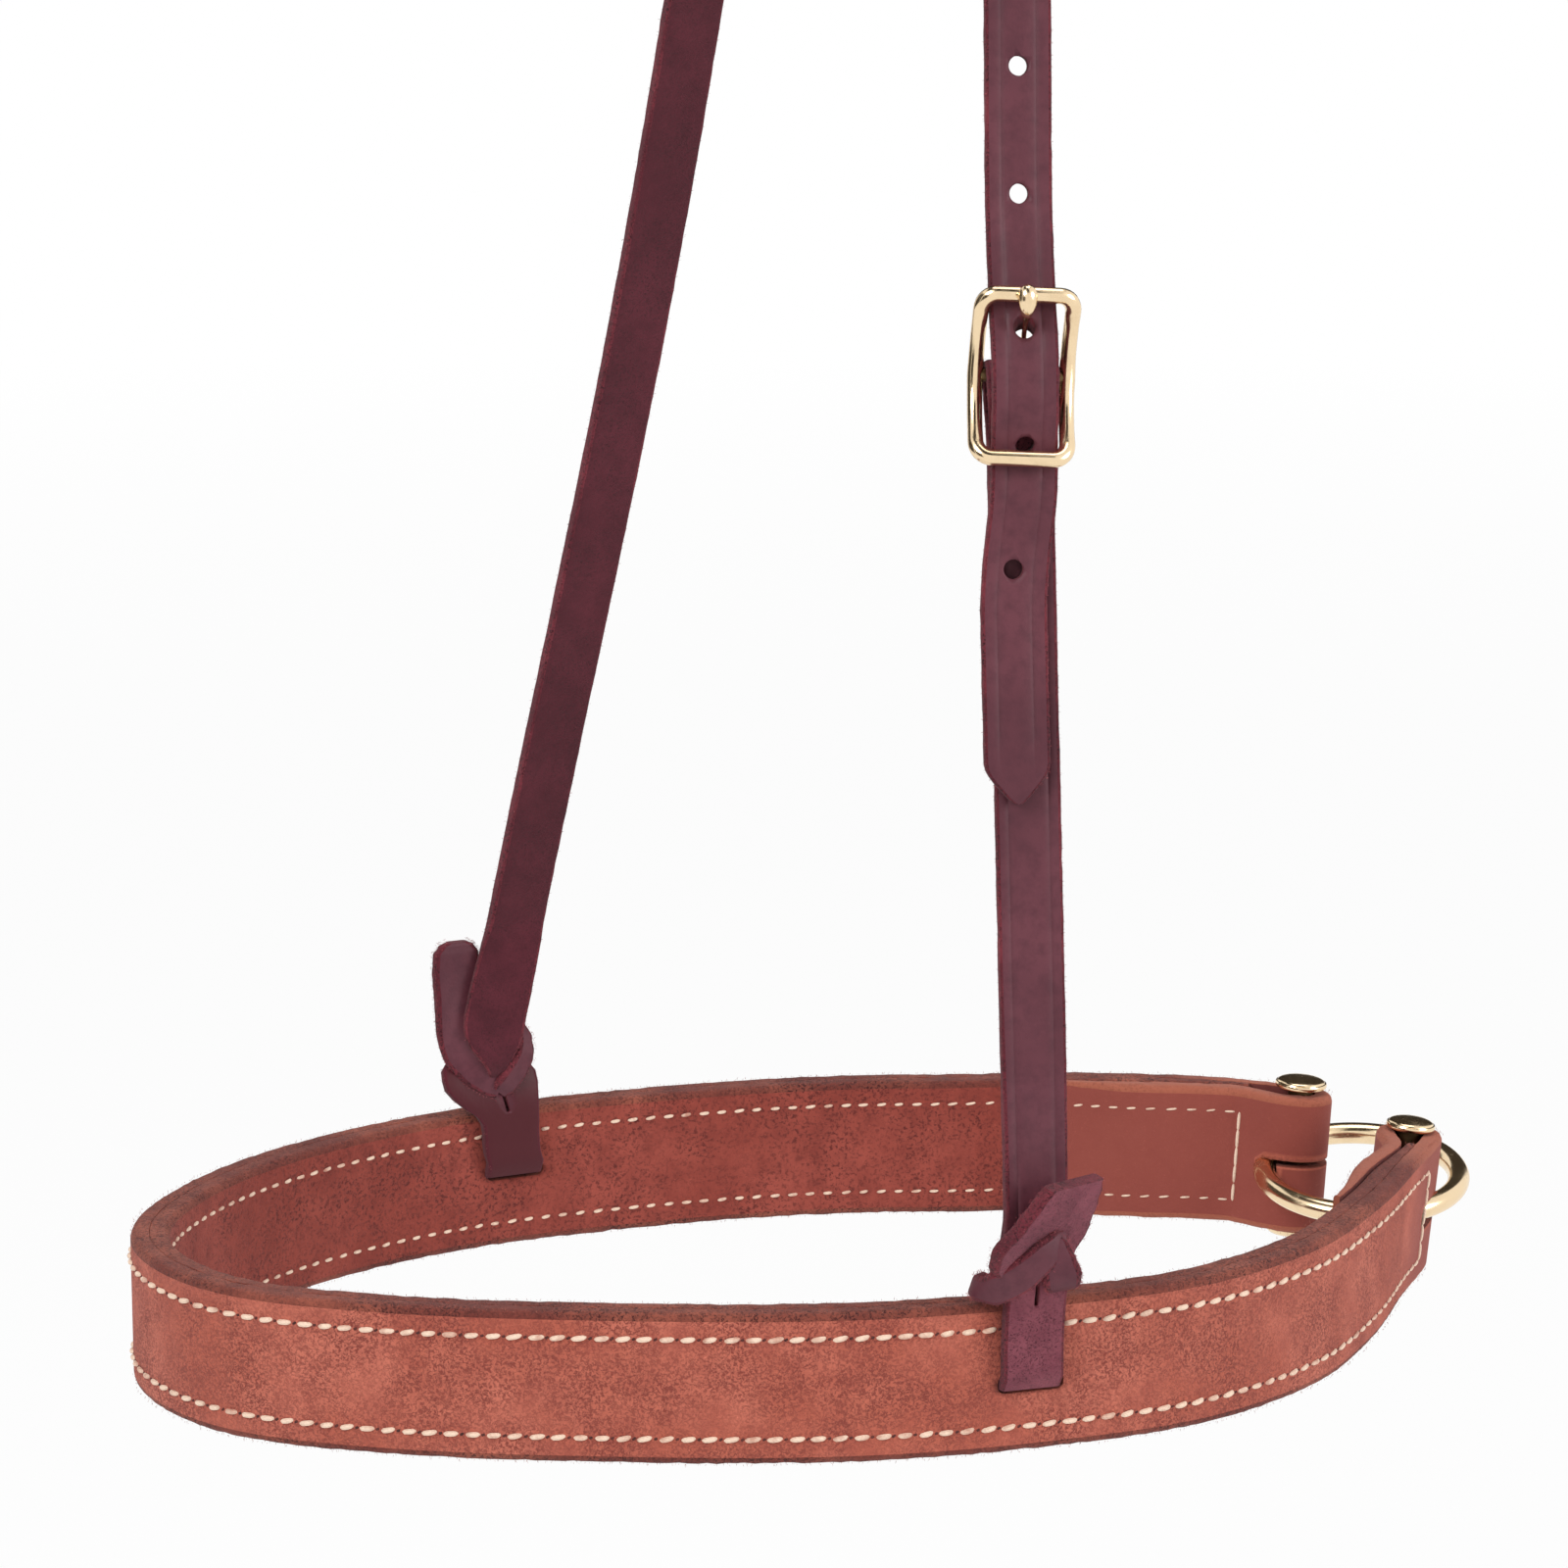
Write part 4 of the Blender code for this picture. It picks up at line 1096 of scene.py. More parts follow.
class Wardrobe:
    """Every finish of the noseband, built once."""

    def __init__(self) -> None:
        """Build the finishes."""
        self.band = NapLeather(
            "rough_out_band", base=(0.435, 0.106, 0.067), light=(0.55, 0.156, 0.104),
            dark=(0.325, 0.070, 0.049), pit_shade=(0.245, 0.051, 0.037), wear_and_shade_colour=(0.24, 0.054, 0.042),
            cover=0.57, scale=2000.0).material()
        # The inner face's leather is darker than the outer ply's: partly its own colour, partly
        # painted shade for the inside of the band.
        self.lining = NapLeather(
            "smooth_lining", base=(0.255, 0.047, 0.033), light=(0.32, 0.066, 0.047),
            dark=(0.17, 0.029, 0.022), pit_shade=(0.115, 0.020, 0.016), wear_and_shade_colour=(0.19, 0.05, 0.046),
            cover=0.45, scale=1500.0, depth=0.2).material()
        self.band_edge = NapLeather(
            "band_edge", base=(0.175, 0.038, 0.027), light=(0.30, 0.080, 0.050),
            dark=(0.10, 0.020, 0.016), pit_shade=(0.060, 0.012, 0.010), wear_and_shade_colour=(0.36, 0.105, 0.062),
            cover=0.5, scale=1900.0, rough=0.8, depth=0.3).material()
        self.band_nap = LooseFibre("band_fibres", (0.26, 0.06, 0.042), (0.50, 0.17, 0.11)
                                   ).material()
        # The grain's fourth colour is darker: painted shade where the far strap runs through its
        # slot and loops in front.
        self.grain = GrainLeather(
            "strap_grain", base=(0.088, 0.0205, 0.031), light=(0.118, 0.030, 0.043),
            dark=(0.064, 0.014, 0.023), wear_and_shade_colour=(0.066, 0.0055, 0.0105)).material()
        self.flesh = NapLeather(
            "strap_flesh", base=(0.076, 0.0115, 0.0195), light=(0.098, 0.016, 0.026),
            dark=(0.052, 0.008, 0.014), pit_shade=(0.045, 0.007, 0.012), wear_and_shade_colour=(0.07, 0.012, 0.02),
            cover=0.42, scale=3000.0, rough=0.8, depth=0.12).material()
        # The near straps get a lighter copy of the far straps' flesh side: lit and shaded copies
        # of one leather, painted light on the near side and painted shade on the far side.
        self.lit_near_flesh = NapLeather(
            "knot_flesh", base=(0.172, 0.038, 0.058), light=(0.235, 0.062, 0.084),
            dark=(0.115, 0.023, 0.037), pit_shade=(0.075, 0.015, 0.026), wear_and_shade_colour=(0.12, 0.03, 0.043),
            cover=0.45, scale=2800.0, rough=0.85, depth=0.16).material()
        # The cut edge's fourth colour is darker: painted shade on the far strap's loop.
        self.cut = NapLeather(
            "strap_cut_edge", base=(0.115, 0.015, 0.025), light=(0.200, 0.032, 0.045),
            dark=(0.062, 0.009, 0.016), pit_shade=(0.038, 0.006, 0.011), wear_and_shade_colour=(0.08, 0.012, 0.02),
            cover=0.5, scale=2400.0, rough=0.9, depth=0.3).material()
        self.fuzz = LooseFibre("strap_fibres", (0.19, 0.024, 0.040), (0.46, 0.11, 0.12)
                               ).material()
        # Dark marks sunk at the awl's cuts: painted shade in the holes.
        self.awl_hole_shade = LooseFibre("awl_cuts", (0.05, 0.012, 0.01), (0.10, 0.022, 0.018)
                                  ).material()
        self.brass = CastBrass("cast_brass").material()
        # Much darker brass for the post's barrel and the buckle's bar, which lie under the head
        # and the leather: painted shade.
        self.shaded_brass = CastBrass("tarnished_brass", base=(0.16, 0.105, 0.05),
                                    dull=(0.07, 0.04, 0.02), rough=0.4).material()
        self.thread = WaxedThread().material()

    def band_set(self) -> list[Material]:
        """Finishes of a band ply: its outward side, its inward side, edge and fibres."""
        return [self.band, self.lining, self.band_edge, self.band_nap]

    def strap_set(self, side: str) -> list[Material]:
        """Finishes of a strap: grain side, flesh side, edge and fibres."""
        # Near straps take the lighter copy: painted light, against the far side's painted shade.
        flesh = self.lit_near_flesh if side == "near" else self.flesh
        return [self.grain, flesh, self.cut, self.fuzz]


# The noseband


@dataclass(frozen=True)
class Tie:
    """Where the hanger is tied through the band.

    Attributes:
        side: near or far.
        spot: plan place on the band's face that the knot lies on.
        angle: plan direction of that face, in radians.
        flex_run: how far along the face the leg bends.
        flex_off: how far off the face the leg bends.
        flex_up: height at which the leg bends.
        slot_middle: height of the slot's middle.
        off_face: distance of the strap's middle from the face.
        bend: radius of the strap's turn through the slot.
        through: how far behind the face the strap comes out.
    """

    side: str
    spot: tuple[float, float]
    angle: float
    flex_run: float
    flex_off: float
    flex_up: float = 42.0
    slot_middle: float = 11.5
    off_face: float = 1.6
    bend: float = 2.2
    through: float = 6.8

    @property
    def place(self) -> Vector:
        """Foot of the knot on the layout's floor."""
        return Vector((*self.spot, 0.0))

    @property
    def run(self) -> Vector:
        """The way along the face."""
        return heading(self.angle).to_3d()

    @property
    def off(self) -> Vector:
        """The way off the face, towards the camera."""
        return Vector((sin(self.angle), -cos(self.angle), 0.0))

    @property
    def flex(self) -> Vector:
        """Middle of the leg where it bends as the band swings."""
        return self.point(self.flex_run, self.flex_off, self.flex_up)

    @property
    def back(self) -> float:
        """Where the strap's middle lies behind the band."""
        return -(self.through + self.off_face)

    def point(self, run: float, off: float, up: float) -> Vector:
        """A point by its distances along the face, off it and up."""
        return self.place + self.run * run + self.off * off + UP * up

    def way(self, run: float, off: float, up: float) -> Vector:
        """A direction by its parts along the face, off it and up."""
        return self.run * run + self.off * off + UP * up

    def slot_turn(self) -> list[tuple[float, float]]:
        """Course through the slot, front to back, as (off, up).

        Returns:
            The points of the turn.
        """
        low, bend = self.slot_middle, self.bend
        turns = [pi / 2 * index / 8 for index in range(9)]
        return [(self.off_face - bend * (1 - cos(turn)), low + bend * (1 - sin(turn)))
                for turn in turns] + [
            (self.back + bend * (1 - sin(turn)), low + bend * (1 - cos(turn)))
            for turn in turns]


NEAR_TIE = Tie("near", (41.2, 7.1), radians(17.4), 2.0, -3.9)
FAR_TIE = Tie("far", (-51.1, 125.4), radians(25.0), -1.7, -3.4, slot_middle=14.0,
              off_face=2.45, through=5.95)


@dataclass
class EyePost:
    """Where an eye of the band is folded round a post, and the slot that the ring runs in.

    Attributes:
        centre: plan place of the post.
        angle: plan direction of the band's end.
        lean: how far the post leans.
        slot_middle: height of the slot's middle.
        slot_back: how far the slot runs back from the post.
        slot_high: height of the slot.
        pinch: height of the slot where the eye folds.
        wide_end: how far past the post the slot keeps its full height.
        slot_drop: how far the slot sits below its middle.
    """

    centre: Vector
    angle: float
    lean: float
    slot_middle: float
    slot_back: float
    slot_high: float
    pinch: float
    wide_end: float
    slot_drop: float

    def way(self) -> Vector:
        """Plan direction of the band's end."""
        return heading(self.angle)


@dataclass
class BandPlan:
    """The band seen from above, and how its ends roll."""

    outer: float = 3.3
    liner: float = 3.2
    liner_tip: float = 1.6
    flap_tip: float = 1.2
    gap: float = 0.3
    width: float = 25.4
    eye: float = 2.8
    flap: float = 50.0
    skive: float = 25.0
    liner_start: float = 9.5
    liner_full: float = 34.0
    throat: tuple[float, float] = (1.0, 12.5)
    proud: float = 0.4
    near_drop: float = 1.7
    far_rise: float = 1.3
    lean_full: float = 12.0
    lean_reach: float = 60.0
    near_lift: tuple[float, float] = (45.0, 67.0)
    far_lift: tuple[float, float] = (55.0, 36.0)
    halves: tuple[float, float, float] = (76.0, 0.9, 60.0)
    pitch: float = 1.6
    near: EyePost = field(default_factory=lambda: EyePost(
        Vector((115.6, 117.0)), radians(75.0), radians(5.5), 12.3, 11.6, 5.2, 5.2, 9.4, 0.0))
    far: EyePost = field(default_factory=lambda: EyePost(
        Vector((97.0, 132.8)), radians(-7.0), radians(3.5), 12.45, 7.5, 4.2, 1.2, -3.2, 0.9))
    bends: Outline = (
        (115.0, 96.0), (106.2, 70.5), (91.8, 43.2), (70.0, 20.5), (42.8, 7.4), (10.0, 0.2),
        (-30.0, 0.2), (-69.0, 5.0), (-96.0, 15.8), (-111.6, 37.5), (-112.6, 62.0),
        (-97.0, 95.0), (-66.0, 124.0), (-28.0, 141.0), (12.0, 150.4), (48.0, 149.6),
        (80.0, 142.3))

    def __post_init__(self) -> None:
        """Work out the outer face once."""
        reach = self.eye + self.outer
        near_way, far_way = self.near.way(), self.far.way()
        near_end = self.near.centre - inward(-near_way) * reach
        far_end = self.far.centre - inward(far_way) * reach
        path = smooth_path([near_end, *self.bends, far_end], 12, -near_way, far_way)
        self.face = [path[index].lerp(path[index + 1], share)
                     for index, share in even_marks(path, self.pitch)]
        self.marks = lengths(self.face)
        self.ways = directions(self.face)
        self.total = self.marks[-1]

    def along(self, distance: float) -> tuple[Vector, Vector]:
        """The outer face's point and direction at a distance from the near post.

        Args:
            distance: how far from the near post.

        Returns:
            The point and the direction.
        """
        step = self.total / (len(self.face) - 1)
        index = min(len(self.face) - 2, max(0, int(distance / step)))
        share = distance / step - index
        return (self.face[index].lerp(self.face[index + 1], share),
                self.ways[index].lerp(self.ways[index + 1], share).normalized())

    def from_end(self, distance: float) -> float:
        """Distance to the nearer end of the band."""
        return min(distance, self.total - distance)

    def liner_at(self, distance: float) -> float:
        """Thickness of the liner at a distance from its end."""
        share = ease((distance - self.liner_start) / (self.liner_full - self.liner_start))
        return mix(self.liner_tip, self.liner, share)

    def flap_at(self, distance: float) -> float:
        """Thickness of the folded flap at a distance from its eye."""
        return mix(self.outer, self.flap_tip,
                   ease((distance - self.flap + self.skive) / self.skive))

    def flap_depth(self, distance: float) -> float:
        """How far in from the outer face the middle of the flap lies.

        Args:
            distance: how far from the flap's eye.

        Returns:
            The depth.
        """
        closed = self.outer + 2 * self.gap + self.liner_at(distance) + self.flap_at(distance) / 2
        opened = self.outer * 1.5 + 2 * self.eye
        low, high = self.throat
        return mix(opened, closed, ease((distance - low) / (high - low)))

    def inner_depth(self, distance: float) -> float:
        """How far in from the outer face the innermost surface lies.

        Args:
            distance: how far from the near post.

        Returns:
            The depth.
        """
        end = self.from_end(distance)
        if end < self.flap:
            return self.flap_depth(end) + self.flap_at(end) / 2
        return self.outer + self.gap + self.liner_at(end)

    def at_far_end(self, point: Vector) -> bool:
        """Whether a point is on the far side's half of the band."""
        start, slope, bend = self.halves
        return point.y > start + slope * max(0.0, point.x - bend)

    def lift(self, point: Vector) -> float:
        """How far the ring raises the far end and lowers the near one.

        Args:
            point: a point of the flat-laid band.

        Returns:
            The lift, less than 0 downward.
        """
        far = self.at_far_end(point)
        start, reach = self.far_lift if far else self.near_lift
        return (self.far_rise if far else -self.near_drop) * ease((point.x - start) / reach)

    def tilt(self, post: EyePost, share: float = 1.0) -> Matrix:
        """The lean of a post, or a share of it.

        Args:
            post: the post.
            share: how much of the lean.

        Returns:
            The turn about the post's middle.
        """
        height = self.width / 2 + self.lift(Vector((*post.centre, 0.0)))
        pivot = Vector((*post.centre, height))
        return (Matrix.Translation(pivot) @ Matrix.Rotation(post.lean * share, 4, "Y")
                @ Matrix.Translation(-pivot))

    def hang(self, point: Vector) -> Vector:
        """Where a point of the flat-laid band comes to hang.

        Args:
            point: the point.

        Returns:
            Its place on the hung band.
        """
        post = self.far if self.at_far_end(point) else self.near
        away = (point.xy - post.centre).length
        share = 1.0 - ease((away - self.lean_full) / self.lean_reach)
        lifted = point + Vector((0.0, 0.0, self.lift(point)))
        return self.tilt(post, share) @ lifted if share > 0.0 else lifted

    def flap_run(self, back: bool) -> list[tuple[Vector, float, float]]:
        """Middle, thickness and slickness of a flap, from its eye to its tip.

        Args:
            back: whether it is the far eye's flap.

        Returns:
            The run.
        """
        run = []
        for index in range(33):
            distance = self.flap * index / 32
            point, way = self.along(self.total - distance if back else distance)
            run.append((point + inward(way) * self.flap_depth(distance),
                        self.flap_at(distance), 1.0))
        return run

    def eye_run(self, post: EyePost, side: Vector) -> list[tuple[Vector, float, float]]:
        """Middle, thickness and slickness round an eye, its two ends left out."""
        radius = self.eye + self.outer / 2
        return [(post.centre - side * radius * cos(pi * k / 16)
                 + post.way() * radius * sin(pi * k / 16), self.outer, 1.0)
                for k in range(1, 16)]

    def outer_path(self) -> list[tuple[Vector, float, float]]:
        """Middle, thickness and slickness of the outer ply from flap tip to flap tip.

        Returns:
            The path.
        """
        found = self.flap_run(False)[::-1]
        found += self.eye_run(self.near, inward(-self.near.way()))[::-1]
        for point, way, mark in zip(self.face, self.ways, self.marks):
            slick = 1.0 - ease((self.from_end(mark) - 10.0) / 30.0)
            found.append((point + inward(way) * self.outer / 2, self.outer, slick))
        return found + self.eye_run(self.far, inward(self.far.way())) + self.flap_run(True)


@dataclass
class StitchRow:
    """Saddle stitching along a surface of the band.

    Attributes:
        pitch: distance from one stitch to the next.
        length: how much of a stitch shows.
        thread: radius of the thread.
        slant: how far a stitch leans across the row.
        slit: radius of the dark tubes sunk at the awl's cuts between the stitches, which paint the
            shade in the holes, or 0 for none.
        plump: how far from the row's ends the thread is rubbed thin.
    """

    pitch: float = 3.6
    length: float = 2.65
    thread: float = 0.48
    slant: float = 0.35
    slit: float = 0.3
    plump: float = 110.0

    def sew(self, maker: MeshMaker, spot: Callable[[float], Station],
            start: float, end: float, seed: int) -> None:
        """Sew one row.

        Args:
            maker: where the thread goes.
            spot: gives a point of the surface, the way along it and the way out of it.
            start: where the row starts, in millimetres along the surface.
            end: where it ends.
            seed: start of the random draws.
        """
        draw = random.Random(seed)
        count = max(1, round((end - start) / self.pitch))
        for index in range(count):
            middle = mix(start, end, (index + 0.5) / count) + draw.uniform(-0.12, 0.12)
            length = self.length * draw.uniform(0.88, 1.06)
            rubbed = ease(min(middle - start, end - middle) / self.plump)
            thread = self.thread * mix(0.6, 1.0, rubbed)
            slant = self.slant * draw.uniform(0.3, 1.7)
            path, radii = [], []
            for share, width in ((-0.5, 0.25), (-0.42, 0.6), (-0.28, 0.9), (-0.1, 1.0),
                                 (0.1, 1.0), (0.28, 0.9), (0.42, 0.6), (0.5, 0.25)):
                point, way, out = spot(middle + length * share)
                side = out.cross(way).normalized()
                rise = thread * (0.35 - 4.6 * max(0.0, abs(share) - 0.25))
                path.append(point + out * rise + side * slant * share)
                radii.append(thread * width)
            maker.tube(path, radii)
            # A dark tube sunk at each awl cut, painting the shade in the hole.
            if self.slit:
                point, way, out = spot(mix(start, end, (index + 1.0) / count))
                side = out.cross(way).normalized()
                lean = way * 0.5 + side * draw.uniform(0.1, 0.4)
                cut = [point + lean * share - out * self.slit * 0.62
                       for share in (-1, -0.4, 0.4, 1)]
                maker.tube(cut, [0.05, self.slit, self.slit, 0.05], 1)


@dataclass
class Noseband:
    """The two plies and their stitching."""

    plan: BandPlan
    wardrobe: Wardrobe
    corner: float = 1.3
    seam: float = 0.16
    sunk: float = 0.04
    liner_step: float = 1.8
    tie_slot: tuple[float, float, float] = (11.7, 40.0, 3.0)
    tie_slot_corner: float = 1.2
    pinch_back: float = 4.5
    punch_deep: float = 24.0
    row_low: float = 4.1
    row_high: float = 21.4
    row_start: float = 10.3
    steepest: float = 0.35

    def tie_cutters(self) -> list[Object]:
        """Punches for the two slots that the hanger is tied through."""
        return [rounded_cutter("tie_slot", self.tie_slot, self.tie_slot_corner,
                               Matrix.Translation(tie.point(0.0, 0.0, tie.slot_middle))
                               @ Matrix.Rotation(tie.angle, 4, "Z"), self.wardrobe.band_edge)
                for tie in (NEAR_TIE, FAR_TIE)]

    def eye_cutters(self) -> list[Object]:
        """Punches for the slots that the ring runs in, narrower where each eye folds.

        Returns:
            The punches.
        """
        made = []
        reach = self.plan.eye + 2 * self.plan.outer
        for post in (self.plan.near, self.plan.far):
            at = Vector((*post.centre, 0.0))
            centre = at + UP * (post.slot_middle + self.plan.lift(at) - post.slot_drop)
            turn = self.plan.tilt(post) @ Matrix.Translation(centre) @ Matrix.Rotation(
                post.angle, 4, "Z")
            for start, end, tall in (
                    (-post.slot_back, min(reach, post.wide_end), post.slot_high),
                    (-self.pinch_back, reach, post.pinch)):
                move = Vector(((start + end) / 2, 0.0, (post.slot_high - tall) / 2))
                made.append(rounded_cutter(
                    "eye_slot", (end - start, self.punch_deep, tall), tall * 0.45,
                    turn @ Matrix.Translation(move), self.wardrobe.band_edge))
        return made

    def upright(self, middle: Vector, thick: float, slick: float = 0.0) -> StripStation:
        """A station of a ply, standing on its edge."""
        return StripStation(Vector((*middle, self.plan.width / 2)), UP, self.tall, thick, slick)

    def build_outer(self) -> Object:
        """The outer ply, folded round both posts.

        Returns:
            The ply.
        """
        section = StripSection(self.tall, self.plan.outer, self.corner, under=self.seam)
        stations = [self.upright(*spot) for spot in self.plan.outer_path()]
        return seat(self.lay("outer_ply", stations, section), "noseband",
                    "band_outer_ply")

    def build_liner(self) -> Object:
        """The liner, thinned where it runs into each eye.

        Returns:
            The ply.
        """
        section = StripSection(self.tall, self.plan.liner, self.seam, under=self.corner)
        stations = []
        span = self.plan.total - 2 * self.plan.liner_start
        count = round(span / self.liner_step)
        close = self.plan.gap - self.sunk
        for index in range(count + 1):
            mark = self.plan.liner_start + span * index / count
            point, way = self.plan.along(mark)
            thick = self.plan.liner_at(self.plan.from_end(mark)) + close
            depth = self.plan.outer + self.plan.gap - close + thick / 2
            stations.append(self.upright(point + inward(way) * depth, thick))
        return seat(self.lay("liner", stations, section), "noseband",
                    "band_liner")

    @property
    def tall(self) -> float:
        """Height of a ply, its raised edges taken in."""
        return self.plan.width + 2 * self.plan.proud

    def lay(self, name: str, stations: list[StripStation], section: StripSection) -> Object:
        """Lay a ply, roll its ends, cut its slots and fray its edges.

        Args:
            name: name of the ply.
            stations: its course.
            section: its cross-section.

        Returns:
            The ply.
        """
        maker = MeshMaker(name)
        maker.warp = self.plan.hang
        fringe = lay_strip(maker, stations, section, wobble=0.22)
        made = maker.finish(self.wardrobe.band_set())
        carve(made, self.tie_cutters() + self.eye_cutters())
        fray(made, fringe, 11, 2.2, 0.5, self.plan.hang)
        return made

    def spot(self, mark: float, height: float, inside: bool) -> Station:
        """A point on a face of the band, the way along it and the way out of it.

        Args:
            mark: how far along the face it is.
            height: how far up it is.
            inside: whether it is on the inner face.

        Returns:
            The point and the two directions.
        """
        point, way = self.plan.along(mark)
        side = inward(way)
        if inside:
            step = 0.6
            slope = (self.plan.inner_depth(mark + step) - self.plan.inner_depth(mark - step))
            slope = max(-self.steepest, min(self.steepest, slope / (2 * step)))
            point = point + side * self.plan.inner_depth(mark)
            way = (way + side * slope).normalized()
            out = Vector((*inward(way), 0.0))
        else:
            out = -Vector((*side, 0.0))
        return Vector((*point, height)), Vector((*way, 0.0)), out

    def build_stitching(self) -> Object:
        """Two rows on each face and a cross row at each end.

        Returns:
            The thread, and dark marks that paint the shade in the awl's cuts.
        """
        maker = MeshMaker("stitching")
        maker.warp = self.plan.hang
        outer_row, inner_row = StitchRow(), StitchRow(3.6, 2.0, 0.33, 0.2, 0.0)
        end = self.plan.total - self.row_start
        for number, (height, inside) in enumerate(
                ((self.row_low, False), (self.row_high, False),
                 (self.row_low, True), (self.row_high, True))):
            row = inner_row if inside else outer_row
            row.sew(maker, lambda mark, h=height, i=inside: self.spot(mark, h, i),
                    self.row_start, end, 20 + number)
        cross = StitchRow(3.45, 4.6, 0.31, 0.0, 0.0, 1.0)
        for number, mark in enumerate((self.row_start, end)):
            for inside in (False, True):
                def upright(height: float, m: float = mark, i: bool = inside
                            ) -> Station:
                    """A spot on the cross row at a height."""
                    point, _, out = self.spot(m, height, i)
                    return point, UP, out
                cross.sew(maker, upright, self.row_low, self.row_high, 30 + number)
        return seat(maker.finish([self.wardrobe.thread, self.wardrobe.awl_hole_shade]),
                    "noseband")


@dataclass
class ScrewPost:
    """A brass post with a domed head, and the screw that holds it from below."""

    side: str
    post: EyePost
    plan: BandPlan
    wardrobe: Wardrobe
    head: float
    raised: float
    barrel: float = 2.4
    bore: float = 1.6
    dome: float = 0.9
    rim: float = 1.0
    shank: float = 1.35
    screw_head: float = 4.8
    thread_pitch: float = 0.7
    groove: tuple[float, float, float] = (16.0, 1.0, 1.4)
    clear: float = 0.3
    sides: int = 56

    @property
    def top(self) -> float:
        """Height of the seat of the post's head."""
        return self.plan.width + self.clear + self.raised

    def axis(self, height: float) -> Vector:
        """A point of the post's axis before it leans, lifted as its end of the band is."""
        centre = self.post.centre
        return Vector((*centre, height + self.plan.lift(Vector((*centre, 0.0)))))

    def turn(self, maker: MeshMaker, profile: Outline, slot: int = 0) -> None:
        """Turn a profile of (radius, height) about the post's axis.

        Args:
            maker: where the mesh goes.
            profile: the profile.
            slot: its material slot.
        """
        tilt = self.plan.tilt(self.post)
        rings, marks = [], [0.0]
        for radius, height in profile:
            middle, reach = self.axis(height), max(radius, 0.02)
            rings.append(maker.ring(
                tilt @ (middle + heading(tau * k / self.sides).to_3d() * reach)
                for k in range(self.sides)))
        for start, end in zip(profile, profile[1:]):
            marks.append(marks[-1] + dist(start, end))
        maker.skin(rings, [slot] * self.sides, marks, range(self.sides + 1), slot)

    def build_post(self) -> Object:
        """The domed head and the hollow barrel.

        Returns:
            The post.
        """
        head, base, edge = self.head, self.top, self.top + self.rim
        turns = [pi / 2 * index / 8 for index in range(9)]
        profile = [((head - 0.35) * sin(turn), edge + self.dome * cos(turn)) for turn in turns]
        profile += [(head - 0.1, edge - 0.06), (head, edge - 0.25), (head, base + 0.3),
                    (head - 0.12, base + 0.08), (head - 0.35, base), (self.barrel, base),
                    (0.0, base)]
        maker = MeshMaker(f"{self.side}_screw_post")
        self.turn(maker, profile)
        # The barrel and bore take the darker brass: painted shade under the head.
        self.turn(maker, [(0.0, base), (self.barrel, base), (self.barrel, 0.0),
                          (self.bore, 0.0), (self.bore, base - 3.0), (0.0, base - 3.0)], 1)
        return maker.finish([self.wardrobe.brass, self.wardrobe.shaded_brass], 35.0)

    def build_screw(self) -> Object:
        """The threaded screw and its slotted flat head below.

        Returns:
            The screw.
        """
        top, low, shank, head = self.top, -self.clear, self.shank, self.screw_head
        profile = [(0.0, top - 5.0), (shank - 0.3, top - 5.0), (shank, top - 5.4)]
        level = top - 5.6
        while level > low + 2.0:
            profile += [(shank, level), (shank - 0.18, level - 0.25), (shank, level - 0.5)]
            level -= self.thread_pitch
        profile += [(shank, low), (head - 0.3, low), (head, low - 0.3), (head - 0.25, low - 0.8),
                    (head - 0.9, low - 1.4), (head - 1.9, low - 1.7), (0.0, low - 1.7)]
        maker = MeshMaker(f"{self.side}_screw")
        self.turn(maker, profile)
        screw = maker.finish([self.wardrobe.brass], 35.0)
        under = Matrix.Translation(self.axis(low - 1.7))
        carve(screw, [rounded_cutter("groove", self.groove, 0.3,
                                     self.plan.tilt(self.post) @ under, self.wardrobe.brass)])
        return screw

    def build(self) -> list[Object]:
        """The post and its screw."""
        return [seat(self.build_post(), f"{self.side}_pin", f"{self.side}_post"),
                seat(self.build_screw(), f"{self.side}_screw",
                     f"{self.side}_post_screw")]


@dataclass
class TieRing:
    """The tie-down ring, through both eyes."""

    wardrobe: Wardrobe
    centre: Vector = field(default_factory=lambda: Vector((109.0, 126.55, 12.9)))
    radius: float = 18.3
    wire: float = 2.05
    slope: float = 0.15
    steps: int = 120

    def build(self) -> Object:
        """The ring.

        Returns:
            The piece.
        """
        normal = Vector((0.0, -self.slope, 1.0)).normalized()
        first = normal.orthogonal().normalized()
        path = circle(self.centre, first * self.radius, normal.cross(first) * self.radius,
                      self.steps)
        maker = MeshMaker("ring")
        maker.tube(path, [self.wire] * self.steps, sides=24, closed=True)
        return seat(maker.finish([self.wardrobe.brass], 60.0), "ring",
                    "tie_down_ring")


# The hanger


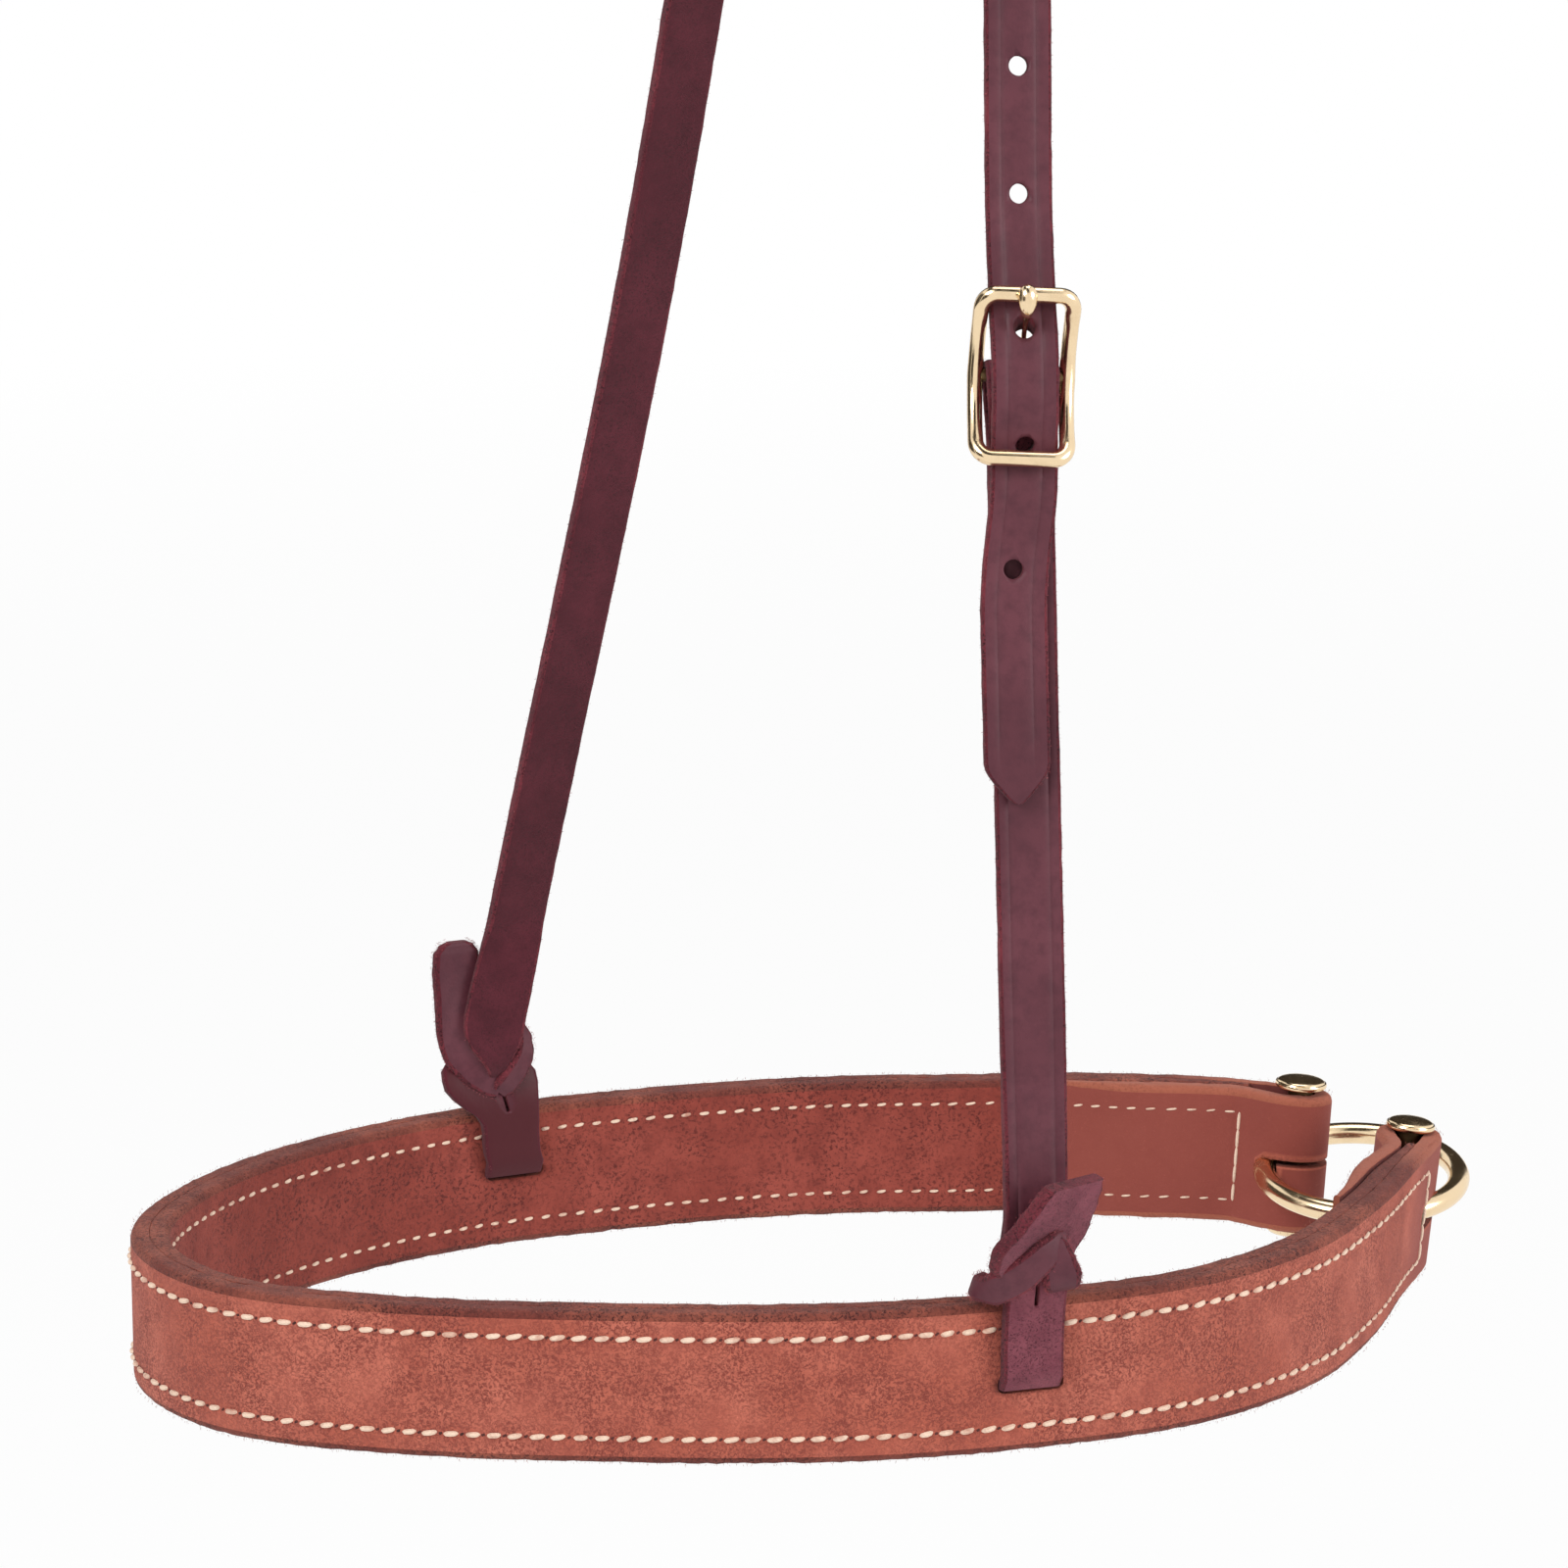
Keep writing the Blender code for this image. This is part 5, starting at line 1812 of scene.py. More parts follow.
class Leg:
    """A leg of the hanger: across its width, outward from it and up it, bowed a little."""

    def __init__(self, tie: Tie, angle: float, meet: Vector, bow: tuple[float, float]) -> None:
        """Run a leg from its tie to where the two legs meet.

        Args:
            tie: where it is tied.
            angle: plan direction of its width.
            meet: where the two legs meet.
            bow: how far it bows, and up to where.
        """
        self.bow, self.bow_reach = bow
        self.tie = tie
        self.foot = tie.flex
        self.up = (meet - tie.flex).normalized()
        self.length = (meet - tie.flex).length
        width = heading(angle).to_3d()
        self.across = (width - self.up * width.dot(self.up)).normalized()
        self.out = self.across.cross(self.up)

    def point(self, across: float, out: float, up: float) -> Vector:
        """A point by its distances across the leg, outward and up it.

        Args:
            across: distance across the leg.
            out: distance outward.
            up: distance up it.

        Returns:
            The point.
        """
        share = min(1.0, max(0.0, up / self.bow_reach))
        across += self.bow * sin(pi * share) ** 2
        return self.foot + self.across * across + self.out * out + self.up * up

    def matrix(self, across: float, out: float, up: float) -> Matrix:
        """A place on the leg with X across it, Y inward and Z up it."""
        turn = Matrix((self.across, -self.out, self.up)).transposed().to_4x4()
        return Matrix.Translation(self.point(across, out, up)) @ turn


@dataclass
class HangerPlan:
    """Course of the two straps that make the hanger."""

    meet: tuple[float, float, float] = (34.0, 72.0, 505.0)
    crown_radius: float = 16.0
    near_angle: float = radians(6.0)
    far_angle: float = radians(27.0)
    near_bow: tuple[float, float] = (-0.9, 270.0)
    far_bow: tuple[float, float] = (2.6, 290.0)
    settle: float = 40.0
    twist_from: float = 200.0
    twist_length: float = 150.0
    width: float = 11.0
    fold_wide: float = 12.1
    loop_wide: float = 10.6
    thick: float = 2.4
    gap: float = 0.3
    step: float = 4.0
    buckle_at: float = 137.0
    bar_out: float = 2.25
    fold_thick: float = 1.7
    fold_space: float = 1.4
    fold_return: float = 21.0
    billet_shift: float = -2.0
    billet_tip: float = 70.4
    tip_stations: int = 9
    hole: float = 1.65
    hole_heights: tuple[float, ...] = (-31.6, 29.9, 50.7)
    curve_hole: tuple[float, float] = (5.3, -11.2)
    prong_hole: tuple[float, float] = (6.05, 7.1)

    def __post_init__(self) -> None:
        """Set out the legs and the crown."""
        meet = Vector(self.meet)
        self.near = Leg(NEAR_TIE, self.near_angle, meet, self.near_bow)
        self.far = Leg(FAR_TIE, self.far_angle, meet, self.far_bow)
        self.crown_across = self.near.up.cross(self.far.up).normalized()
        self.middle = (self.near.up + self.far.up).normalized()
        half = self.near.up.angle(self.far.up) / 2
        self.crown_turn = pi / 2 - half
        self.crown_centre = meet - self.middle * (self.crown_radius / sin(half))
        self.crown_run = self.crown_radius / tan(half)

    def across(self, leg: Leg, up: float) -> Vector:
        """The way a leg's width runs, turning from its tie to the crown."""
        settled = leg.tie.run.lerp(leg.across, ease(up / self.settle))
        return settled.lerp(self.crown_across, ease((up - self.twist_from) / self.twist_length))

    def station(self, point: Vector, across: Vector, width: float | None = None,
                thick: float | None = None) -> StripStation:
        """A station of a strap at its full size unless told otherwise."""
        return StripStation(point, across, width or self.width, thick or self.thick)

    def leg_run(self, leg: Leg, low: float, high: float) -> list[StripStation]:
        """Stations up a leg.

        Args:
            leg: the leg.
            low: where the run starts.
            high: where it ends.

        Returns:
            The stations.
        """
        count = max(1, round((high - low) / self.step))
        found = []
        for index in range(count + 1):
            up = mix(low, high, index / count)
            found.append(self.station(leg.point(0.0, 0.0, up), self.across(leg, up)))
        return found

    def cheek(self) -> list[StripStation]:
        """From the near knot up and over the buckle's bar, and back down in front.

        Returns:
            The stations.
        """
        tie, leg = NEAR_TIE, self.near
        profile = [(tie.off_face + off, up) for off, up in (
            (2.3, 33.2), (2.0, 31.0), (1.2, 27.5), (0.4, 24.0), (0.0, 19.0))]
        found = [self.station(tie.point(-0.3, off, up), tie.run, self.loop_wide)
                 for off, up in profile + tie.slot_turn()]
        rear = ((0.0, 19.0), (0.0, 25.5), (0.3, 30.0), (0.8, 34.5), (1.0, 38.5))
        for index, (out, up) in enumerate(rear):
            share, off = ease((index + 1) / len(rear)), mix(tie.back, tie.flex_off, out)
            found.append(self.station(tie.point(tie.flex_run * share, off, up), tie.run))
        found += self.leg_run(leg, 0.0, self.buckle_at - 12.0)
        middle = self.fold_space + self.fold_thick / 2
        back = self.bar_out - middle
        for drop in (8.0, 4.0, 2.0):
            share = ease((12.0 - drop) / 10.0)
            found.append(self.station(leg.point(0.0, back * share, self.buckle_at - drop),
                                      leg.across, mix(self.width, self.fold_wide, share),
                                      mix(self.thick, self.fold_thick, share)))
        for index in range(13):
            turn = pi * index / 12
            found.append(self.station(
                leg.point(0.0, self.bar_out - middle * cos(turn),
                          self.buckle_at + middle * sin(turn)),
                leg.across, self.fold_wide, self.fold_thick))
        flap = self.fold_thick * 0.7
        rest = self.thick / 2 + self.gap + flap / 2
        front = self.bar_out + middle
        for drop in (2.0, 4.0, 6.0, 8.0, 14.0, self.fold_return):
            share = ease(drop / 8.0)
            found.append(self.station(
                leg.point(0.0, mix(front, rest, share), self.buckle_at - drop), leg.across,
                mix(self.fold_wide, self.width, share), mix(self.fold_thick, flap, share)))
        return found

    def billet(self) -> list[StripStation]:
        """The pointed end of the crown strap and its way through the buckle.

        Returns:
            The stations.
        """
        low = self.thick + self.gap
        leg, tip, found = self.near, self.billet_tip, []
        for drop, width in ((0.0, 1.0), (0.3, 2.3), (1.1, 3.9), (2.2, 5.8), (3.4, 7.8),
                            (4.6, 9.6), (5.6, 10.6), (6.8, 11.0), (10.0, 11.0)):
            found.append(StripStation(
                leg.point(self.billet_shift, low, self.buckle_at - tip + drop), leg.across,
                width, self.thick, 0.0, ease((drop - 5.0) / 5.0)))
        over = low + self.gap + self.fold_thick * 0.7
        top = (self.bar_out + self.fold_space + self.fold_thick + self.gap + self.thick / 2)
        keys = ((low, 14.0 - tip), (low, -50.0), (low, -40.0), (low, -28.0), (over, -20.0),
                (over, -12.8), (over + 0.8, -9.8), (top - 0.3, -5.0), (top, 0.0),
                (top - 0.3, 5.0), (over + 0.8, 9.8), (over, 12.8), (over - 0.6, 16.0),
                (2.4, 21.0), (1.2, 28.0), (1.0, 34.0), (1.0, 44.0))
        path = smooth_path([(out, 0.0, up) for out, up in keys], 4)
        for spot in path:
            share = ease((spot.z + 40.0) / 26.0)
            found.append(self.station(
                leg.point(mix(self.billet_shift, 0.0, share), spot.x,
                          self.buckle_at + spot.z), leg.across))
        return found

    def crown(self) -> list[StripStation]:
        """Billet, near leg, crown, far leg and the far knot's passage through the band.

        Returns:
            The stations.
        """
        found = self.billet()
        near, far, tie = self.near, self.far, FAR_TIE
        start, top = self.buckle_at + 48.0, near.length - self.crown_run
        count = round((top - start) / self.step)
        for index in range(count):
            up = mix(start, top, index / count)
            out = mix(1.0, 0.0, ease((up - self.buckle_at - 44.0) / 60.0))
            found.append(self.station(near.point(0.0, out, up), self.across(near, up)))
        side = (near.up - self.middle * near.up.dot(self.middle)).normalized()
        for index in range(25):
            turn = mix(-self.crown_turn, self.crown_turn, index / 24)
            spot = (self.crown_centre + self.middle * self.crown_radius * cos(turn)
                    + side * self.crown_radius * sin(turn))
            found.append(self.station(spot, self.crown_across))
        found += self.leg_run(far, 20.0, far.length - self.crown_run)[-2::-1]
        back, turned, square = tie.back, tie.way(0.97, 0.22, 0.0), tie.run
        for run, off, up, width, across in (
                (-0.2, 0.4, 57.5, 11.2, turned), (-1.4, 0.8, 53.5, 11.6, turned),
                (-2.9, 1.4, 48.5, 11.8, turned), (-4.2, 2.1, 44.0, 11.8, turned),
                (-4.8, 3.0, 41.0, 11.0, turned), (-4.9, 3.7, 39.2, 9.6, turned),
                (-4.9, 4.2, 37.4, 7.0, square), (-4.8, 4.2, 35.6, 4.4, square),
                (-4.6, 3.0, 33.8, 3.0, square), (-4.2, 1.0, 32.6, 2.6, square),
                (-3.6, -1.2, 32.2, 4.4, square), (-2.2, back + 3.6, 30.2, 7.5, square),
                (-0.9, back + 1.0, 26.8, 10.4, square), (-0.2, back, 22.5, 11.0, square),
                (0.0, back, 18.0, 11.0, square)):
            found.append(StripStation(tie.point(run, off, up), across, width, self.thick, 0.0,
                                      ease((up - 44.0) / 14.0)))
        # These stations through the slot and up the loop's front get a mask of 1, which paints the
        # grain and cut edge darker: painted shade.
        for off, up in reversed(tie.slot_turn()):
            found.append(StripStation(tie.point(-0.6, off, up), tie.run, 10.9, self.thick,
                                      1.0, 0.0))
        for run, off, up, width, thick in (
                (-1.2, 0.0, 18.5, 10.9, 2.4), (-1.5, 0.1, 22.5, 11.0, 2.4),
                (-1.8, 0.2, 25.2, 11.5, 2.4), (-3.5, 0.1, 28.0, 15.2, 2.4),
                (-4.8, -0.4, 30.8, 18.2, 2.3), (-5.3, -1.2, 33.4, 18.4, 2.2),
                (-5.9, -2.2, 35.4, 16.6, 2.0), (-6.2, -3.2, 36.4, 13.0, 1.6)):
            found.append(StripStation(tie.point(run, tie.off_face + off, up), tie.run, width,
                                      thick, 1.0, 0.0))
        return found


def even_stations(stations: Sequence[StripStation], spacing: float) -> list[StripStation]:
    """The same course with its stations joined by a smooth curve and spaced evenly.

    Args:
        stations: the course.
        spacing: about how far apart they come to be.

    Returns:
        The new stations.
    """
    steps = 6
    path = smooth_path([station.middle for station in stations], steps)
    found = []
    for index, share in even_marks(path, spacing):
        whole = (index + share) / steps
        low = min(int(whole), len(stations) - 2)
        part = whole - low
        first, second = stations[low], stations[low + 1]
        sizes = (mix(getattr(first, size), getattr(second, size), part)
                 for size in ("width", "thick", "slick", "crease"))
        found.append(StripStation(path[index].lerp(path[index + 1], share),
                                  first.across.lerp(second.across, part), *sizes))
    return found


@dataclass
class Strap:
    """What the two straps of the hanger share."""

    plan: HangerPlan
    wardrobe: Wardrobe
    spacing: float = 2.0
    corner: float = 0.55
    fibre: float = 0.42
    bend_above: float = 11.0
    bend_below: float = 5.0

    def knot_slit(self, tie: Tie, run: float, size: Sequence[float], corner: float,
                  lean: float = 0.0) -> Object:
        """The slit in the strap's own face that the knot is braided through."""
        turn = (Matrix.Translation(tie.point(run, 3.4, 28.6))
                @ Matrix.Rotation(tie.angle, 4, "Z") @ Matrix.Rotation(lean, 4, "Y"))
        return rounded_cutter("knot_slit", size, corner, turn, self.wardrobe.cut)

    def make(self, name: str, tie: Tie, stations: Sequence[StripStation], creases: float,
             cutters: Sequence[Object], seed: int, bare: int = 0) -> Object:
        """Lay a strap, cut it, fray it and bake its place into its mesh.

        Args:
            name: the CAD node that it stands for.
            tie: where it is tied through the band.
            stations: its course.
            creases: how far from each edge its pressed lines lie.
            cutters: its holes and slits.
            seed: start of the random draws.
            bare: how many stations at its start have no loose fibres.

        Returns:
            The strap.
        """
        maker = MeshMaker(f"{name}_leather")
        section = StripSection(self.plan.width, self.plan.thick, self.corner, creases)
        fringe = lay_strip(maker, stations, section)
        made = maker.finish(self.wardrobe.strap_set(tie.side))
        carve(made, cutters)
        fray(made, fringe[len(FRINGE) * bare:], seed, 3.0, self.fibre)
        seat(made, node=name)
        tuple(place(tie.flex + UP * self.bend_above))
        tuple(place(tie.flex - UP * self.bend_below))
        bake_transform(made)
        return made


@dataclass
class CheekStrap(Strap):
    """The strap from the near knot to the buckle."""

    prong_slot: tuple[float, float, float] = (3.8, 13.0, 13.0)

    def build(self) -> Object:
        """Lay the strap and cut its prong slot.

        Returns:
            The strap.
        """
        slot = self.plan.near.matrix(0.0, self.plan.bar_out, self.plan.buckle_at + 2.5)
        cutters = [rounded_cutter("prong_slot", self.prong_slot, 1.5, slot, self.wardrobe.cut),
                   self.knot_slit(NEAR_TIE, -0.5, (0.7, 4.6, 5.2), 0.3)]
        return self.make("cheek_strap", NEAR_TIE, even_stations(self.plan.cheek(), self.spacing),
                         2.1, cutters, 41)


class CrownStrap(Strap):
    """The strap from the far knot over the crown to the punched billet."""

    def punches(self) -> list[Object]:
        """Punches for the billet's holes; the prong draws its own hole long.

        Returns:
            The punches.
        """
        leg, found = self.plan.near, []
        aims = [((1.2, height), (1.0, 0.0), 1.0) for height in self.plan.hole_heights]
        aims += [(self.plan.curve_hole, (1.0, -0.45), 1.0),
                 (self.plan.prong_hole, (2.4, 3.4), 1.1)]
        for (out, height), (aim_out, aim_up), stretch in aims:
            shift = self.plan.billet_shift if height < self.plan.curve_hole[1] else 0.0
            centre = leg.point(shift, out, self.plan.buckle_at + height)
            way = (leg.out * aim_out + leg.up * aim_up).normalized() * 4.0
            found.append(punch(self.plan.hole, centre - way, centre + way, self.wardrobe.cut,
                               stretch, leg.across))
        return found

    def build(self) -> Object:
        """Lay the strap and punch it; its pointed tip keeps its own stations.

        Returns:
            The strap.
        """
        stations, tip = self.plan.crown(), self.plan.tip_stations
        course = stations[:tip] + even_stations(stations[tip - 1:], self.spacing)[1:]
        cutters = self.punches() + [self.knot_slit(FAR_TIE, -2.8, (0.8, 4.6, 4.6), 0.35, -0.25)]
        return self.make("crown_strap", FAR_TIE, course, 2.6, cutters, 42, 4)


@dataclass
class BleedKnot:
    """A slit-braided knot: its strands, bulging where they cross."""

    tie: Tie
    wardrobe: Wardrobe
    strands: Sequence[tuple]
    seed: int

    def build(self) -> Object:
        """Braid the strands.

        Returns:
            The knot.
        """
        maker = MeshMaker(f"{self.tie.side}_knot_strands")
        for index, (keys, corner) in enumerate(self.strands):
            placed = [(self.tie.point(*middle), self.tie.way(*across), width, thick)
                      for middle, across, width, thick in keys]
            section = StripSection(max(key[2] for key in keys), max(key[3] for key in keys),
                                   corner, 0.0, 1.2)
            fringe = lay_strip(maker, strip_stations(placed, 7), section, 0.16)
            add_fuzz(maker, fringe, self.seed + index, 3.2, 0.45)
        return seat(maker.finish(self.wardrobe.strap_set(self.tie.side)),
                    "noseband", f"{self.tie.side}_knot")


NEAR_STRANDS = (
    ((((-1.0, 2.6, 30.6), (-1.0, 0.3, 0.0), 12.0, 2.3),
      ((-1.5, 4.0, 34.2), (-0.94, 0.38, 0.05), 17.6, 2.5),
      ((-0.2, 5.0, 38.0), (-0.9, 0.42, 0.0), 20.2, 2.6),
      ((2.0, 5.6, 41.6), (-0.9, 0.44, 0.02), 17.2, 2.6),
      ((3.9, 6.0, 45.2), (-0.92, 0.44, 0.02), 14.6, 2.6),
      ((5.1, 6.1, 47.5), (-0.92, 0.44, 0.02), 12.4, 2.5)), 0.75),
    ((((3.4, 4.8, 38.4), (-0.6, 0.0, 0.7), 2.4, 1.8),
      ((1.8, 6.5, 37.6), (-0.55, 0.0, 0.8), 4.2, 2.2),
      ((-0.9, 7.2, 35.6), (-0.6, 0.08, 0.75), 5.8, 2.4),
      ((-4.6, 6.3, 32.5), (-0.6, 0.14, 0.75), 6.6, 2.5),
      ((-7.6, 4.8, 30.5), (-0.4, 0.2, 0.9), 6.6, 2.4),
      ((-9.6, 2.6, 29.6), (0.1, 0.2, 1.0), 4.6, 2.2),
      ((-9.7, -0.2, 29.2), (0.3, 0.1, 1.0), 3.8, 2.0),
      ((-8.2, -2.0, 29.0), (0.4, 0.0, 0.9), 4.0, 1.8)), 0.8),
    ((((1.2, 5.2, 38.8), (-1.0, -0.2, 0.1), 2.6, 1.8),
      ((1.9, 6.5, 37.4), (-1.0, -0.2, 0.2), 4.4, 2.3),
      ((2.4, 7.1, 35.2), (-1.0, -0.25, 0.15), 5.6, 2.4),
      ((2.7, 7.1, 32.8), (-1.0, -0.2, 0.05), 6.6, 2.5),
      ((3.0, 6.4, 30.9), (-1.0, -0.1, 0.0), 6.4, 2.4),
      ((3.5, 4.8, 29.7), (-1.0, 0.0, -0.1), 5.2, 2.2),
      ((4.0, 2.0, 29.6), (-1.0, 0.0, -0.1), 4.2, 2.0)), 1.0),
)
FAR_STRANDS = (
    ((((-9.8, -2.7, 58.6), (-1.0, 0.0, 0.0), 4.2, 1.8),
      ((-9.9, -2.7, 57.9), (-1.0, 0.0, 0.0), 6.8, 2.2),
      ((-10.0, -2.6, 56.4), (-1.0, 0.0, 0.0), 8.8, 2.4),
      ((-10.0, -2.4, 52.6), (-1.0, 0.0, 0.0), 9.4, 2.4),
      ((-10.0, -1.8, 47.6), (-1.0, 0.0, 0.0), 9.2, 2.4),
      ((-10.4, -0.6, 42.8), (-1.0, -0.05, -0.15), 8.8, 2.4),
      ((-10.5, 1.0, 39.0), (-0.8, -0.1, -0.5), 8.0, 2.4),
      ((-8.7, 2.4, 35.8), (-0.6, -0.15, -0.8), 7.2, 2.4),
      ((-6.1, 3.0, 33.2), (-0.5, -0.15, -0.85), 6.4, 2.3),
      ((-3.9, 2.8, 31.2), (-0.5, 0.0, -0.85), 4.8, 2.2)), 0.9),
    ((((1.7, 0.4, 42.0), (-0.9, 0.2, 0.1), 1.8, 1.6),
      ((1.6, 2.0, 39.8), (-0.9, 0.3, 0.2), 3.6, 2.0),
      ((0.9, 3.2, 37.2), (-0.8, 0.35, 0.45), 4.8, 2.3),
      ((-0.7, 3.8, 34.8), (-0.75, 0.35, 0.55), 5.4, 2.4),
      ((-2.6, 3.6, 32.3), (-0.75, 0.3, 0.55), 5.2, 2.4),
      ((-3.9, 2.8, 30.7), (-0.7, 0.2, 0.6), 4.2, 2.2)), 0.9),
)


@dataclass
class Buckle:
    """The cast buckle: its curved frame with a centre bar, and its prong."""

    plan: HangerPlan
    wardrobe: Wardrobe
    half_high: float = 13.35
    half_wide: float = 7.6
    corner: float = 2.5
    wire: float = 1.24
    bar: float = 1.1
    turned: float = radians(3.3)
    face: float = 7.5
    neck: float = 0.6
    sides: int = 14
    shaft: Sequence[tuple[float, float, float]] = (
        (2.2, 3.0, 0.55), (2.9, 5.4, 0.48), (4.0, 7.2, 0.42), (5.2, 8.5, 0.4),
        (6.3, 9.5, 0.62), (7.3, 10.5, 1.1), (8.1, 11.8, 1.5), (8.35, 12.9, 1.6),
        (8.25, 13.9, 1.42), (8.1, 14.6, 0.95), (8.0, 14.9, 0.3))

    def outward(self, up: float) -> float:
        """How far out the curved frame stands at a height from its bar."""
        return mix(self.plan.bar_out, self.face, min(1.0, (up / self.half_high) ** 2))

    def outline(self) -> list[tuple[float, float]]:
        """The frame's middle line as (across, up).

        Returns:
            The points, all the way round.
        """
        straight = self.half_high - self.corner
        found = []
        for index, (side, top) in enumerate(((1, 1), (-1, 1), (-1, -1), (1, -1))):
            for step in range(9):
                turn = pi / 2 * (index + step / 8)
                found.append((side * (self.half_wide - self.corner)
                              + self.corner * cos(turn),
                              top * straight + self.corner * sin(turn)))
            if side == -top:
                for share in (0.8, 0.6, 0.4, 0.22, 0.12, 0.0, -0.12, -0.22, -0.4, -0.6, -0.8):
                    found.append((side * self.half_wide, top * straight * share))
        return found

    def build_frame(self) -> Object:
        """The curved frame and its bar, both turned a little on the strap.

        Returns:
            The frame.
        """
        leg, at = self.plan.near, self.plan.buckle_at
        level, slope = cos(self.turned), sin(self.turned)
        path, radii = [], []
        for across, up in self.outline():
            path.append(leg.point(across * level + up * slope, self.outward(up),
                                  at + up * level - across * slope))
            swell = 0.1 * exp(-(up / 2.2) ** 2) + 0.12 * ease((abs(up) - 9.0) / 4.0)
            radii.append(self.wire + swell)
        maker = MeshMaker("buckle_casting")
        maker.tube(path, radii, sides=self.sides, closed=True, flat=1.05)
        spans = [mix(-1.0, 1.0, index / 16) for index in range(17)]
        bar_path = [leg.point(self.half_wide * share * level, self.plan.bar_out,
                              at - self.half_wide * share * slope) for share in spans]
        # The bar takes the darker brass: painted shade under the strap's fold.
        maker.tube(bar_path, [self.bar] * len(spans), 1, sides=self.sides)
        return maker.finish([self.wardrobe.brass, self.wardrobe.shaded_brass], 70.0)

    def build_prong(self) -> Object:
        """The prong, wrapped round the bar and reaching to the frame.

        Returns:
            The prong.
        """
        leg, at, out = self.plan.near, self.plan.buckle_at, self.plan.bar_out
        wrap = self.bar + self.plan.gap + self.neck
        turns = [radians(mix(85.0, 360.0, index / 24)) for index in range(25)]
        path = [leg.point(0.0, out + wrap * cos(turn), at + wrap * sin(turn)) for turn in turns]
        radii = [self.neck] * len(turns)
        for spot in smooth_path([(out + away, radius, up) for away, up, radius in self.shaft], 4):
            path.append(leg.point(0.0, spot.x, at + spot.z))
            radii.append(spot.y)
        maker = MeshMaker("buckle_tongue")
        maker.tube(path, radii, sides=self.sides)
        return maker.finish([self.wardrobe.brass], 70.0)

    def build(self) -> list[Object]:
        """The frame and the prong."""
        return [seat(self.build_frame(), "buckle", "buckle_frame"),
                seat(self.build_prong(), "prong", "buckle_prong")]


# The studio


def seen_directly(desk: NodeDesk) -> NodeSocket:
    """1 for what the camera sees itself, in a reflection or through glass.

    Args:
        desk: the desk of the tree that asks.

    Returns:
        The share.
    """
    path = desk.add("LightPath").outputs
    share = desk.maths("MAXIMUM", path["Is Camera Ray"], path["Is Glossy Ray"])
    return desk.maths("MAXIMUM", share, path["Is Transmission Ray"])


def show_white(desk: NodeDesk, kind: str, lit: str, output: str, share: NodeSocket) -> None:
    """Mix plain white into what a tree puts out.

    Args:
        desk: the tree's desk.
        kind: type of the white shader.
        lit: name of the shader that lights or is lit.
        output: name of the output node.
        share: how much of the white shows.
    """
    white = desk.add(kind, {"Color": WHITE, "Strength": 1.0})
    both = desk.add("MixShader", {"Fac": share, 1: desk.tree.nodes[lit].outputs[0],
                                  2: white.outputs[0]})
    desk.fill(desk.tree.nodes[output], {"Surface": both.outputs[0]})


